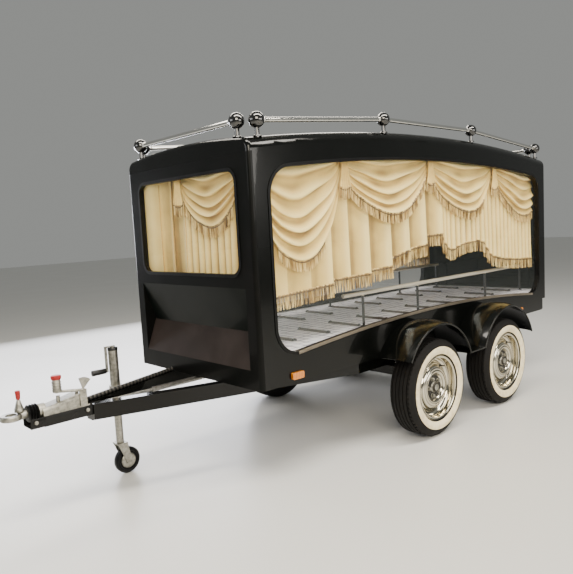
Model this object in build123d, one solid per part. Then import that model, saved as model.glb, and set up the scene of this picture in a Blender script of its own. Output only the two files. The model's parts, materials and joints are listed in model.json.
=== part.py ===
# Glazed funeral trailer: chassis, running gear, arched coach body, roof gallery and jockey wheel.
# Frame: +X forwards to the towing eye, +Y to the left, +Z up, z = 0 on the ground, millimetres.
import os
from math import asin, atan2, cos, degrees, hypot, radians, sin, sqrt
from build123d import *

# Body shell
BODY_FRONT_X = 1130.0
BODY_LEN = 3300.0
BODY_W = 1200.0
WALL_T = 35.0
FRONT_SKIN_T = 25.0
CORNER_R = 22.0
ARCH_RISE = 105.0
ROOF_OVER_DOOR = 202.0
SHOULDER_R = 60.0
SHOULDER_DROP = 12.0
ROOF_CROWN = 30.0
ROOF_T = 28.0
ROOF_OVERCUT = 20.0
TRIM_SPARE = 5.0

# Chassis and drawbar
CHASSIS_Z = 535.0
CHASSIS_H = 95.0
SIDE_RAIL_W = 50.0
CROSS_MEMBER_W = 40.0
CROSS_MEMBERS = 7
TAIL_SETBACK = 81.0
DRAWBAR_H = 82.0
DRAWBAR_W = 55.0
NOSE_GAP = 30.0
DRAWBAR_NOSE_Y = 28.0
DRAWBAR_KNEE_X = 300.0
DRAWBAR_KNEE_Y = 515.0
DRAWBAR_TAIL_X = -1330.0
NOSE_PLATE_LEN = 250.0
NOSE_PLATE_T = 8.0
TONGUE_T = 15.0
ROD_SLOT_LEN = 60.0
ROD_R = 8.0
ROD_SLEEVE_R = 14.0
ROD_Z = 519.0
ROD_SLEEVE_IN = 60.0
ROD_SLEEVE_OUT = 290.0
EQUALISER_AHEAD = 260.0
EQUALISER_HALF_W = 160.0
CONDUIT_R = 11.0

# Running gear
FRONT_AXLE_X = -140.0
AXLE_SPACING = 885.0
TYRE_R = 310.0
TYRE_W = 190.0
WHEEL_Y = 735.0
RIM_SEAT_R = 190.5
RIM_FLANGE_R = 208.0
RIM_W = 154.0
RIM_T = 5.0
DISC_T = 6.0
WHEEL_OFFSET = 35.0
WHEEL_BOLTS = 5
WHEEL_BOLT_PCD = 112.0
WHEEL_BOLT_R = 9.0
HUB_BORE_R = 33.0
DRUM_R = 112.0
DRUM_W = 56.0
DRUM_GAP = 5.0
HUB_LEN = 150.0
BACK_PLATE_T = 4.0
STUB_R = 17.5
AXLE_BEAM = 70.0
ARM_REACH = 105.0
ARM_T = 22.0
RUNNING_GAP = 0.1

# Mudguards
GUARD_R = 372.0
GUARD_RISE = 38.0
GUARD_T = 4.0
GUARD_BULGE = 20.0
GUARD_OUT_Y = 843.0
GUARD_BEAD_R = 6.0
GUARD_FRONT_END = 30.0
GUARD_REAR_END = 21.0
GUARD_INNER_END = 20.0

# Windows
SIDE_WINDOW_MARGIN = 130.0
SIDE_HEAD_DROP = 173.0
SIDE_SILL_Z = 772.0
SIDE_WINDOW_R = 150.0
END_WINDOW_W = 950.0
END_WINDOW_Z = 1138.0
END_WINDOW_HEAD_DROP = 260.0
END_WINDOW_R = 58.0
SEAL_W = 18.0
SEAL_PROUD = 4.0
GLASS_T = 5.0

# Front recess
RECESS_HALF_W = 515.0
RECESS_TOP_Z = 1068.0
RECESS_CREASE_Z = 825.0
RECESS_LEDGE_Z = 635.0
RECESS_DEPTH = 72.0

# Rear door
DOOR_OPEN_W = 1080.0
DOOR_OPEN_Z = 700.0
DOOR_OPEN_H = 1028.0
DOOR_GAP = 6.0
DOOR_WINDOW_W = 860.0
DOOR_WINDOW_HEAD = 58.0
HINGE_PIN_R = 5.0
HINGE_KNUCKLE_R = 9.0
HINGE_KNUCKLE_L = 26.0
HINGE_GAP = 1.0
HINGE_LEAF_W = 42.0
HINGE_LEAF_T = 4.0
HINGE_INSET = 140.0
HANDLE_PROUD = 43.0
HANDLE_Z = 1010.0
HANDLE_LEN = 130.0
HANDLE_R = 9.0

# Deck
DECK_Z = 705.0
DECK_T = 10.0
DECK_RIB_T = 6.0
ROLLER_R = 16.0
ROLLER_L = 250.0
ROLLERS = 10
ROLLER_INNER_Y = 130.0
ROLLER_PROUD = 12.0
ROLLER_PIN_R = 5.0
ROLLER_PIN_DROP = 2.0
ROLLER_END_GAP = 8.0
ROLLER_FRONT_SETBACK = 349.0
ROLLER_REAR_SETBACK = 205.0
DECK_FRONT_GAP = 4.0
BIER_Y = 425.0
BIER_Z = 922.0
BIER_R = 13.0
BIER_POST_R = 9.0
BIER_POST_SETBACKS = (2235.0, 1635.0, 695.0, 95.0)
BIER_RAIL_AHEAD = 190.0
BIER_RAIL_BEHIND = 30.0

# Curtains
CURTAIN_T = 60.0
CURTAIN_OVERLAP = 20.0
CURTAIN_HEAD_H = 34.0
CURTAIN_HEAD_GAP = 24.0
CURTAIN_HEM_Z = 930.0
SOFT_GAP = 0.3

# Roof gallery
BALL_R = 42.0
BALL_HEIGHT = 82.0
STEM_R = 12.5
TUBE_R = 14.0
GALLERY_Y = 560.0
GALLERY_MARGIN = 100.0
GALLERY_BALLS = 4
CROSS_MARGIN = 35.0
CROSS_Y = 480.0

# Coupling
EYE_REACH = 183.0
EYE_R = 48.0
EYE_BORE_R = 25.0
EYE_T = 25.0
EYE_Z = 552.0
EYE_WALL_SPARE = 8.0
SHAFT_R = 20.0
LATCH_SETBACK = 88.0
LATCH_R = 5.0
LATCH_TOP_Z = 672.0
HOUSING_W = 92.0
HOUSING_FRONT_X = 2030.0
HOUSING_LEN = 215.0
HOUSING_RISE = 42.0
HOUSING_FRONT_H = 72.0
HOUSING_REAR_H = 104.0
LEVER_SETBACK = 200.0
LEVER_LEN = 132.0
LEVER_T = 6.0
QUADRANT_R = 62.0
QUADRANT_TEETH = 9
GAITER_R = 42.0
GAITER_LEN = 52.0

# Jockey wheel
JOCKEY_SETBACK = 275.0
JOCKEY_Y = -245.0
JOCKEY_R = 76.0
JOCKEY_W = 46.0
JOCKEY_TRAIL = 34.0
JOCKEY_TUBE_R = 27.0
JOCKEY_LEG_R = 21.5
JOCKEY_PIN_R = 10.0
JOCKEY_AXLE_R = 8.0
JOCKEY_FORK_T = 5.0
JOCKEY_TUBE_TOP_Z = 742.0
JOCKEY_TUBE_BOTTOM_Z = 440.0

# Lamps and bumper
MARKER_X = 880.0
MARKER_Z = 575.0
REAR_MARKER_INSET = 470.0
TAIL_LAMP_Y = 470.0
BUMPER_T = 38.0

# Places that follow from the sizes above
BODY_REAR_X = BODY_FRONT_X - BODY_LEN
MID_X = BODY_FRONT_X - BODY_LEN / 2
HALF_W = BODY_W / 2
CHASSIS_TOP_Z = CHASSIS_Z + CHASSIS_H
REAR_AXLE_X = FRONT_AXLE_X - AXLE_SPACING
AXLE_XS = {"front": FRONT_AXLE_X, "rear": REAR_AXLE_X}
SIDES = {"left": 1, "right": -1}
DOOR_TOP_Z = DOOR_OPEN_Z + DOOR_OPEN_H
SHOULDER_TOP_Z = DOOR_TOP_Z + ROOF_OVER_DOOR
SIDE_HEAD_Z = SHOULDER_TOP_Z - SIDE_HEAD_DROP
END_WINDOW_H = SHOULDER_TOP_Z - END_WINDOW_HEAD_DROP - END_WINDOW_Z
ARCH_R = ((BODY_LEN / 2) ** 2 + ARCH_RISE ** 2) / (2 * ARCH_RISE)
ARCH_CZ = SHOULDER_TOP_Z - ARCH_R
LIP_R = ARCH_R - SHOULDER_R - SHOULDER_DROP
TAIL_X = BODY_REAR_X + TAIL_SETBACK
DRAWBAR_Z = CHASSIS_Z - DRAWBAR_H
HOUSING_REAR_X = HOUSING_FRONT_X - HOUSING_LEN
DRAWBAR_NOSE_X = HOUSING_REAR_X - NOSE_GAP
EYE_TIP_X = HOUSING_FRONT_X + EYE_REACH
JOCKEY_X = DRAWBAR_NOSE_X - JOCKEY_SETBACK
DRAWBAR_SLOPE = (DRAWBAR_KNEE_Y - DRAWBAR_NOSE_Y) / (DRAWBAR_NOSE_X - DRAWBAR_KNEE_X)
HOUSING_Z = DRAWBAR_Z + HOUSING_RISE
LEVER_X = HOUSING_FRONT_X - LEVER_SETBACK
HINGE_X = BODY_REAR_X - HINGE_LEAF_T - HINGE_KNUCKLE_R + 3.0
HINGE_Y = DOOR_OPEN_W / 2 - DOOR_GAP / 2
DOOR_WINDOW_H = DOOR_TOP_Z - DOOR_WINDOW_HEAD - END_WINDOW_Z
HINGE_ZS = (DOOR_OPEN_Z + HINGE_INSET, (DOOR_OPEN_Z + DOOR_TOP_Z) / 2, DOOR_TOP_Z - HINGE_INSET)
JOCKEY_FORK_TOP_Z = 2 * JOCKEY_R + 30.0
FRONT_WINDOW = (END_WINDOW_W, END_WINDOW_H)
DOOR_WINDOW = (DOOR_WINDOW_W, DOOR_WINDOW_H)
WALL_REAR_X = BODY_REAR_X + WALL_T
WALL_FRONT_X = BODY_FRONT_X - FRONT_SKIN_T
DECK_FRONT_X = WALL_FRONT_X - RECESS_DEPTH - DECK_FRONT_GAP
BIER_POST_XS = [WALL_REAR_X + setback for setback in BIER_POST_SETBACKS]


def box(x0, x1, y0, y1, z0, z1):
    """Box between two corners."""
    middle = Pos((x0 + x1) / 2, (y0 + y1) / 2, (z0 + z1) / 2)
    return middle * Box(abs(x1 - x0), abs(y1 - y0), abs(z1 - z0))


def rod(a, b, r):
    """Round bar from point a to point b."""
    a, b = Vector(*a), Vector(*b)
    plane = Plane(origin=a, z_dir=(b - a).normalized())
    return extrude(plane * Circle(r), amount=(b - a).length)


def xz_prism(outline, y0, y1):
    """Prism between y0 and y1 from a closed outline of (x, z) points."""
    wire = Polyline(*outline, close=True)
    face = Plane.XZ * make_face(wire)
    return Pos(0, max(y0, y1), 0) * extrude(face, amount=abs(y1 - y0))


def xy_prism(outline, z0, z1):
    """Prism between z0 and z1 from a closed outline of (x, y) points."""
    face = make_face(Polyline(*outline, close=True))
    return Pos(0, 0, z0) * extrude(Plane.XY * face, amount=z1 - z0)


def turned_y(profile, x, z):
    """Solid turned about a line along Y through (x, z), from (radius, y) points."""
    wire = Polyline(*profile, close=True)
    return Pos(x, 0, z) * revolve(Plane.XY * make_face(wire), Axis.Y)


def joined(solids):
    """All the given solids fused."""
    first, *others = solids
    return first + others if others else first


def mirrored_y(shape):
    return mirror(shape, Plane.XZ)


def arch_z(x, radius=ARCH_R):
    """Height of the roof arch's circle of that radius at x."""
    return ARCH_CZ + sqrt(radius ** 2 - (x - MID_X) ** 2)


def arch_slab(x0, x1, radius, z_bottom, y0, y1):
    """Slab with a level underside and an arched top edge."""
    top = ThreePointArc((x0, arch_z(x0, radius)), (MID_X, ARCH_CZ + radius), (x1, arch_z(x1, radius)))
    rest = Polyline((x1, arch_z(x1, radius)), (x1, z_bottom), (x0, z_bottom), (x0, arch_z(x0, radius)))
    face = Plane.XZ * make_face(top + rest)
    return Pos(0, max(y0, y1), 0) * extrude(face, amount=abs(y1 - y0))


def side_window(grow, y0, y1):
    """Prism of the side window's outline, arched at head and sill, grown by the given margin."""
    half = BODY_LEN / 2 - SIDE_WINDOW_MARGIN + grow
    drop = SHOULDER_TOP_Z - arch_z(MID_X + half)
    head, sill = SIDE_HEAD_Z + grow, SIDE_SILL_Z - grow
    x0, x1 = MID_X - half, MID_X + half
    outline = [
        ThreePointArc((x0, head - drop), (MID_X, head), (x1, head - drop)),
        Line((x1, head - drop), (x1, sill - drop)),
        ThreePointArc((x1, sill - drop), (MID_X, sill), (x0, sill - drop)),
        Line((x0, sill - drop), (x0, head - drop)),
    ]
    face = make_face(outline)
    face = fillet(face.vertices(), SIDE_WINDOW_R + grow)
    return Pos(0, max(y0, y1), 0) * extrude(Plane.XZ * face, amount=abs(y1 - y0))


def end_window(size, grow, x0, x1):
    """Prism of a window of that (width, height) in the front panel or the door, grown by the margin."""
    width, height = size
    face = RectangleRounded(width + 2 * grow, height + 2 * grow, END_WINDOW_R + grow)
    prism = extrude(Plane.YZ * face, amount=abs(x1 - x0))
    return Pos(min(x0, x1), 0, END_WINDOW_Z + height / 2) * prism


# Chassis

def chassis_side_rails():
    inner = HALF_W - SIDE_RAIL_W
    return [box(TAIL_X, WALL_FRONT_X, s * inner, s * HALF_W, CHASSIS_Z, CHASSIS_TOP_Z)
            for s in SIDES.values()]


def chassis_cross_members():
    first, last = TAIL_X + CROSS_MEMBER_W, WALL_FRONT_X - CROSS_MEMBER_W
    pitch = (last - first) / (CROSS_MEMBERS - 1)
    inner = HALF_W - SIDE_RAIL_W
    half = CROSS_MEMBER_W / 2
    members = []
    for i in range(CROSS_MEMBERS):
        x = first + i * pitch
        members.append(box(x - half, x + half, -inner, inner, CHASSIS_Z, CHASSIS_TOP_Z))
    return members


def drawbar_y(x):
    """Half-spread of the A-frame's centre lines at x, ahead of the knee."""
    return DRAWBAR_NOSE_Y + DRAWBAR_SLOPE * (DRAWBAR_NOSE_X - x)


def drawbar_rail():
    """Left rail: parallel under the body, then turned in to the nose."""
    h = DRAWBAR_W / 2
    lengthen = hypot(1, DRAWBAR_SLOPE)
    turn = h * (lengthen - 1) / DRAWBAR_SLOPE
    end = h * lengthen
    outline = [
        (DRAWBAR_TAIL_X, DRAWBAR_KNEE_Y - h), (DRAWBAR_KNEE_X - turn, DRAWBAR_KNEE_Y - h),
        (DRAWBAR_NOSE_X, DRAWBAR_NOSE_Y - end), (DRAWBAR_NOSE_X, DRAWBAR_NOSE_Y + end),
        (DRAWBAR_KNEE_X + turn, DRAWBAR_KNEE_Y + h), (DRAWBAR_TAIL_X, DRAWBAR_KNEE_Y + h),
    ]
    return xy_prism(outline, DRAWBAR_Z, CHASSIS_Z)


def drawbar_frame():
    """Both rails, the plate under their nose, the tongue for the coupling and a slot for the brake rod."""
    rail = drawbar_rail()
    x1, x0 = DRAWBAR_NOSE_X, DRAWBAR_NOSE_X - NOSE_PLATE_LEN
    y0 = drawbar_y(x0)
    plate = xy_prism([(x0, -y0), (x1, -DRAWBAR_NOSE_Y), (x1, DRAWBAR_NOSE_Y), (x0, y0)],
                     DRAWBAR_Z - NOSE_PLATE_T, DRAWBAR_Z)
    tongue = box(x0, HOUSING_FRONT_X, -HOUSING_W / 2, HOUSING_W / 2, HOUSING_Z - TONGUE_T, HOUSING_Z)
    slot = box(x1 - ROD_SLOT_LEN, x1 + 1, -ROD_SLEEVE_R, ROD_SLEEVE_R, ROD_Z - ROD_SLEEVE_R, CHASSIS_Z + 1)
    return rail + mirrored_y(rail) + plate + tongue - slot


# Coupling

def coupling_housing():
    """Cast overrun housing: wedge-shaped body with a round nose boss."""
    x0, x1 = HOUSING_REAR_X, HOUSING_FRONT_X
    half = HOUSING_W / 2
    outline = [(x0, HOUSING_Z), (x1, HOUSING_Z), (x1, HOUSING_Z + HOUSING_FRONT_H),
               (x0 + 40, HOUSING_Z + HOUSING_REAR_H), (x0, HOUSING_Z + HOUSING_REAR_H)]
    body = xz_prism(outline, -half, half)
    top_edges = body.edges().filter_by(Axis.X, tolerance=20).sort_by(Axis.Z)[-4:]
    body = fillet(top_edges, 14)
    boss = rod((x1 - 20, 0, EYE_Z), (x1 + 12, 0, EYE_Z), GAITER_R - 6)
    return body + boss


def towing_eye():
    """Ring with its stem, which slides in the housing, and the upright latch pin on it."""
    x = EYE_TIP_X - EYE_R
    ring = Pos(x, 0, EYE_Z) * Cylinder(EYE_R, EYE_T)
    ring = fillet(ring.edges(), 6)
    x_stem = x - EYE_BORE_R - EYE_WALL_SPARE
    stem = rod((HOUSING_FRONT_X + 12, 0, EYE_Z), (x_stem, 0, EYE_Z), SHAFT_R)
    bore = Pos(x, 0, EYE_Z) * Cylinder(EYE_BORE_R, EYE_T * 3)
    x_latch = EYE_TIP_X - LATCH_SETBACK
    latch = rod((x_latch, 0, EYE_Z), (x_latch, 0, LATCH_TOP_Z), LATCH_R)
    collar = rod((x_latch, 0, EYE_Z), (x_latch, 0, EYE_Z + SHAFT_R + 8), 2 * LATCH_R)
    return joined([ring - bore, stem, latch, collar])


def coupling_gaiter():
    """Rubber bellows round the shaft."""
    x0 = HOUSING_FRONT_X + 12.0
    folds = 4
    step = GAITER_LEN / folds
    profile = [(SHAFT_R + RUNNING_GAP, 0)]
    for i in range(folds):
        profile += [(GAITER_R - 8, i * step), (GAITER_R, (i + 0.5) * step)]
    profile += [(GAITER_R - 8, GAITER_LEN), (SHAFT_R + RUNNING_GAP, GAITER_LEN)]
    face = make_face(Polyline(*profile, close=True))
    turned = revolve(Plane.XZ * face, Axis.Z)
    return Pos(x0, 0, EYE_Z) * Rot(0, 90, 0) * turned


def handbrake_lever():
    """Toothed quadrant on the housing's side and the lever that lies forward."""
    z = HOUSING_Z + HOUSING_REAR_H + 22
    y0, y1 = HOUSING_W / 2, HOUSING_W / 2 + LEVER_T
    y_mid, arm_y, grip_x = (y0 + y1) / 2, y1 + 7, LEVER_X + LEVER_LEN
    plate = box(LEVER_X - 18, LEVER_X + 18, y0, y1, z - 82, z)
    sector = Pos(LEVER_X, y_mid, z) * Rot(90, 0, 0) * Cylinder(QUADRANT_R, LEVER_T)
    keep = xz_prism([(LEVER_X, z), (LEVER_X - 70, z + 70), (LEVER_X + 26, z + 90)], y0 - 1, y1 + 1)
    sector = sector & keep
    for i in range(QUADRANT_TEETH):
        a = radians(78 + i * 6.5)
        x_tooth, z_tooth = LEVER_X + QUADRANT_R * cos(a), z + QUADRANT_R * sin(a)
        sector -= Pos(x_tooth, y_mid, z_tooth) * Rot(90, 0, 0) * Cylinder(2.4, LEVER_T * 2)
    arm = rod((LEVER_X, arm_y, z), (grip_x, arm_y, z + 20), 7)
    grip = rod((grip_x, arm_y, z + 14), (grip_x, arm_y, z + 90), 11)
    pivot = rod((LEVER_X, y0, z), (LEVER_X, arm_y + 9, z), 8)
    return joined([plate, sector, pivot, arm, grip])


def brake_rod():
    """Rod along the centre line, from the coupling to the equaliser ahead of the axles."""
    x_end = FRONT_AXLE_X + EQUALISER_AHEAD
    tube = rod((x_end, 0, ROD_Z), (HOUSING_REAR_X, 0, ROD_Z), ROD_R)
    x0, x1 = BODY_FRONT_X - ROD_SLEEVE_IN, BODY_FRONT_X + ROD_SLEEVE_OUT
    sleeve = rod((x0, 0, ROD_Z), (x1, 0, ROD_Z), ROD_SLEEVE_R)
    w, r = EQUALISER_HALF_W, ROD_SLEEVE_R
    bar = box(x_end - r, x_end, -w, w, ROD_Z - r, ROD_Z + r)
    return joined([tube, sleeve, bar])


def cable_conduit():
    """Conduit clipped along the right rail's top, from the coupling to the body."""
    x0, x1 = BODY_FRONT_X + 6, DRAWBAR_NOSE_X - 6
    z = CHASSIS_Z + CONDUIT_R
    return rod((x0, -drawbar_y(x0), z), (x1, -drawbar_y(x1), z), CONDUIT_R)


# Axles

def axle(x):
    """Torsion axle beam with a trailing arm, brake back plate and stub axle at each end."""
    beam_x, beam_z = x + ARM_REACH, DRAWBAR_Z - AXLE_BEAM / 2
    back_y = WHEEL_Y + WHEEL_OFFSET - HUB_LEN
    arm_y = back_y - BACK_PLATE_T - ARM_T
    beam = box(beam_x - AXLE_BEAM / 2, beam_x + AXLE_BEAM / 2, -arm_y, arm_y,
               beam_z - AXLE_BEAM / 2, beam_z + AXLE_BEAM / 2)
    beam = fillet(beam.edges().filter_by(Axis.Y), 12)
    pieces = [beam]
    for s in SIDES.values():
        big = rod((beam_x, s * arm_y, beam_z), (beam_x, s * (arm_y + ARM_T), beam_z), 38)
        small = rod((x, s * arm_y, TYRE_R), (x, s * (arm_y + ARM_T), TYRE_R), 30)
        web = arm_web(beam_x, beam_z, x, s * arm_y, s * (arm_y + ARM_T))
        plate = rod((x, s * (arm_y + ARM_T), TYRE_R), (x, s * back_y, TYRE_R), DRUM_R + 3)
        stub = rod((x, s * back_y, TYRE_R), (x, s * (WHEEL_Y + WHEEL_OFFSET), TYRE_R), STUB_R)
        pieces += [big, small, web, plate, stub]
    return joined(pieces)


def arm_web(beam_x, beam_z, x, y0, y1):
    """Flat web between the arm's two eyes."""
    length = hypot(beam_x - x, beam_z - TYRE_R)
    tilt = degrees(atan2(beam_z - TYRE_R, beam_x - x))
    outline = [(0, -24), (length, -32), (length, 32), (0, 24)]
    web = xz_prism(outline, y0, y1)
    return Pos(x, 0, TYRE_R) * Rot(0, -tilt, 0) * web


# Road wheels

def tyre(x, s):
    """Tyre with a flat tread and side walls that bulge out to its full width."""
    h = TYRE_W / 2
    bead = RIM_W / 2 - RIM_T - 1
    seat = RIM_SEAT_R + RIM_T + SOFT_GAP
    side = [(seat, bead), (RIM_FLANGE_R + 5, bead + 4), (RIM_FLANGE_R + 34, h), (TYRE_R - 22, h - 13),
            (TYRE_R, h - 31)]
    profile = side + [(r, -y) for r, y in reversed(side)]
    return Pos(0, s * WHEEL_Y, 0) * turned_y(profile, x, TYRE_R)


def wheel(x, s):
    """Steel rim with a stepped disc, its nuts, and the hub with its brake drum."""
    f = RIM_W / 2
    seat, flange, t = RIM_SEAT_R, RIM_FLANGE_R, RIM_T
    well = seat - 20
    outer = [(flange, f), (seat + t, f - t), (seat + t, 36), (well + t, 20), (well + t, -20), (seat + t, -36),
             (seat + t, -f + t), (flange, -f)]
    inner = [(flange - t, -f - 2), (seat, -f + 2), (seat, -34), (well, -18), (well, 18), (seat, 34),
             (seat, f - 2), (flange - t, f + 2)]
    rim = turned_y(outer + inner, x, TYRE_R)
    o = WHEEL_OFFSET
    drum_y = o - HUB_LEN + DRUM_GAP
    disc_profile = [(HUB_BORE_R, o), (78, o), (98, o + 20), (126, o + 14), (150, o - 8), (well + 1, o - 24),
                    (well + 1, o - 24 + DISC_T), (152, o - 8 + DISC_T), (128, o + 14 + DISC_T),
                    (96, o + 20 + DISC_T), (76, o + DISC_T), (HUB_BORE_R, o + DISC_T)]
    disc = turned_y(disc_profile, x, TYRE_R)
    hub_profile = [(STUB_R + RUNNING_GAP, drum_y), (DRUM_R, drum_y), (DRUM_R, drum_y + DRUM_W),
                   (62, drum_y + 10 + DRUM_W), (48, o - 40), (72, o - 12), (72, o), (HUB_BORE_R, o),
                   (HUB_BORE_R, o + 12), (26, o + 30), (0, o + 30), (0, o + 2), (STUB_R + RUNNING_GAP, o + 2)]
    hub = turned_y(hub_profile, x, TYRE_R)
    nuts = []
    for i in range(WHEEL_BOLTS):
        a = radians(360 / WHEEL_BOLTS * i)
        nx, nz = x + WHEEL_BOLT_PCD / 2 * cos(a), TYRE_R + WHEEL_BOLT_PCD / 2 * sin(a)
        nuts.append(rod((nx, o + DISC_T, nz), (nx, o + DISC_T + 12, nz), WHEEL_BOLT_R))
    solid = joined([rim, disc, hub, *nuts])
    if s < 0:
        solid = mirrored_y(solid)
    return Pos(0, s * WHEEL_Y, 0) * solid


# Mudguards

def guard_arch(x, a0, a1):
    """One arch, from angle a0 to a1 counted from straight forward, upwards."""
    w0, w1 = HALF_W + 2, GUARD_OUT_Y
    mid = (w0 + w1) / 2
    r = GUARD_R
    top = ThreePointArc((r, w0), (r + GUARD_BULGE, mid), (r, w1))
    low = ThreePointArc((r - GUARD_T, w0), (r + GUARD_BULGE - GUARD_T, mid), (r - GUARD_T, w1))
    ends = [Line((r, w0), (r - GUARD_T, w0)), Line((r, w1), (r - GUARD_T, w1))]
    sheet = make_face([top, low, *ends])
    bead = Pos(r - GUARD_T / 2, w1) * Circle(GUARD_BEAD_R)
    section = (sheet + bead).face()
    arch = revolve(Plane.XY * section, Axis.Y, revolution_arc=a1 - a0)
    return Pos(x, 0, TYRE_R + GUARD_RISE) * Rot(0, -a1, 0) * arch


def mudguard():
    """Left pair of arches with the plate that joins them between the wheels."""
    front = guard_arch(FRONT_AXLE_X, GUARD_FRONT_END, 180 - GUARD_INNER_END)
    rear = guard_arch(REAR_AXLE_X, GUARD_INNER_END, 180 - GUARD_REAR_END)
    a = radians(GUARD_INNER_END)
    z = TYRE_R + GUARD_RISE + (GUARD_R - GUARD_T / 2) * sin(a)
    x_front = FRONT_AXLE_X - (GUARD_R - GUARD_T / 2) * cos(a)
    x_rear = REAR_AXLE_X + (GUARD_R - GUARD_T / 2) * cos(a)
    plate = box(x_rear - 14, x_front + 14, HALF_W + 2, GUARD_OUT_Y, z - GUARD_T, z + GUARD_T)
    stays = []
    for x in (FRONT_AXLE_X, REAR_AXLE_X):
        top = TYRE_R + GUARD_RISE + GUARD_R
        stays.append(box(x - 20, x + 20, HALF_W, HALF_W + 30, top - 70, top - GUARD_T + 2))
    return joined([front, rear, plate, *stays])


# Body

def under_roof(solid):
    """The part of a solid that lies under the roof's lip."""
    y, spare = HALF_W + TRIM_SPARE, TRIM_SPARE
    return solid & arch_slab(BODY_REAR_X - spare, BODY_FRONT_X + spare, LIP_R, CHASSIS_Z - spare, -y, y)


def side_wall():
    """Left wall: level foot, arched top edge and the window cut-out."""
    slab = arch_slab(WALL_REAR_X, WALL_FRONT_X, LIP_R, CHASSIS_TOP_Z, HALF_W - WALL_T, HALF_W)
    return slab - side_window(SEAL_W, HALF_W - WALL_T - 1, HALF_W + 1)


def front_panel():
    """Front skin with rounded corner posts, window cut-out and the V-shaped recess below it."""
    skin = box(WALL_FRONT_X, BODY_FRONT_X, -HALF_W, HALF_W, CHASSIS_Z, SHOULDER_TOP_Z)
    corners = skin.edges().filter_by(Axis.Z).group_by(Axis.X)[-1]
    skin = under_roof(fillet(corners, CORNER_R))
    t = FRONT_SKIN_T
    crease_x = BODY_FRONT_X - RECESS_DEPTH
    bump = xz_prism([(WALL_FRONT_X + 1, RECESS_LEDGE_Z - t - 12), (crease_x - t, RECESS_CREASE_Z),
                     (WALL_FRONT_X + 1, RECESS_TOP_Z + t + 12)], -RECESS_HALF_W - t, RECESS_HALF_W + t)
    dent = xz_prism([(BODY_FRONT_X + 1, RECESS_LEDGE_Z), (crease_x, RECESS_CREASE_Z),
                     (BODY_FRONT_X + 1, RECESS_TOP_Z)], -RECESS_HALF_W, RECESS_HALF_W)
    panel = skin + bump - dent
    return panel - end_window(FRONT_WINDOW, SEAL_W, WALL_FRONT_X - 1, BODY_FRONT_X + 1)


def rear_portal():
    """Frame round the rear door, with its hinge leaves and knuckles."""
    frame = box(BODY_REAR_X, WALL_REAR_X, -HALF_W, HALF_W, CHASSIS_TOP_Z, SHOULDER_TOP_Z)
    corners = frame.edges().filter_by(Axis.Z).group_by(Axis.X)[0]
    frame = under_roof(fillet(corners, CORNER_R))
    opening = box(BODY_REAR_X - 1, WALL_REAR_X + 1, -DOOR_OPEN_W / 2, DOOR_OPEN_W / 2,
                  DOOR_OPEN_Z, DOOR_TOP_Z)
    opening = fillet(opening.edges().filter_by(Axis.X), END_WINDOW_R)
    frame = frame - opening
    return joined([frame, *hinge_parts(False)])


def hinge_parts(moving):
    """Knuckles and leaves: the middle knuckle swings with the door, the outer two and the pin stay."""
    parts = []
    step = HINGE_KNUCKLE_L + HINGE_GAP
    x, y = HINGE_X, HINGE_Y
    leaf_side = -1 if moving else 1
    for z in HINGE_ZS:
        bore = rod((x, y, z - 2 * step), (x, y, z + 2 * step), HINGE_PIN_R + RUNNING_GAP)
        for dz in (0,) if moving else (-step, step):
            low, high = z + dz - HINGE_KNUCKLE_L / 2, z + dz + HINGE_KNUCKLE_L / 2
            barrel = rod((x, y, low), (x, y, high), HINGE_KNUCKLE_R)
            leaf = box(BODY_REAR_X - HINGE_LEAF_T, BODY_REAR_X, y, y + leaf_side * HINGE_LEAF_W, low, high)
            parts.append(barrel + leaf - bore if moving else barrel + leaf)
        if not moving:
            parts.append(rod((x, y, z - step), (x, y, z + step), HINGE_PIN_R))
    return parts


def rear_door():
    """Door slab with its window cut-out and its hinge knuckles."""
    half = DOOR_OPEN_W / 2 - DOOR_GAP
    z0, z1 = DOOR_OPEN_Z + DOOR_GAP, DOOR_TOP_Z - DOOR_GAP
    slab = box(BODY_REAR_X, WALL_REAR_X, -half, half, z0, z1)
    slab = fillet(slab.edges().filter_by(Axis.X), END_WINDOW_R - DOOR_GAP)
    slab = slab - end_window(DOOR_WINDOW, SEAL_W, BODY_REAR_X - 1, WALL_REAR_X + 1)
    return joined([slab, *hinge_parts(True)])


def door_handle():
    """Lever handle with its rose, near the door's free edge."""
    y = -DOOR_OPEN_W / 2 + 70
    x_bar = BODY_REAR_X - HANDLE_PROUD + HANDLE_R
    rose = rod((BODY_REAR_X, y, HANDLE_Z), (BODY_REAR_X - 10, y, HANDLE_Z), 24)
    neck = rod((BODY_REAR_X - 10, y, HANDLE_Z), (x_bar, y, HANDLE_Z), HANDLE_R - 2)
    bar = rod((x_bar, y - 12, HANDLE_Z), (x_bar, y + HANDLE_LEN, HANDLE_Z), HANDLE_R)
    return joined([rose, neck, bar])


def roof_section(shrink):
    """Shouldered cross-section of the roof at the arch's crown, shrunk inward."""
    half, top, r = HALF_W - shrink, SHOULDER_TOP_Z - shrink, SHOULDER_R - shrink
    low = ARCH_CZ + LIP_R - (ROOF_OVERCUT if shrink else 0.0)
    k = sin(radians(45)) * r
    cy, cz = half - r, top - r
    edges = [
        Line((-half, low), (-half, cz)),
        ThreePointArc((-half, cz), (-cy - k, cz + k), (-cy, top)),
        ThreePointArc((-cy, top), (0, top + ROOF_CROWN), (cy, top)),
        ThreePointArc((cy, top), (cy + k, cz + k), (half, cz)),
        Line((half, cz), (half, low)),
        Line((half, low), (-half, low)),
    ]
    return make_face(edges)


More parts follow.
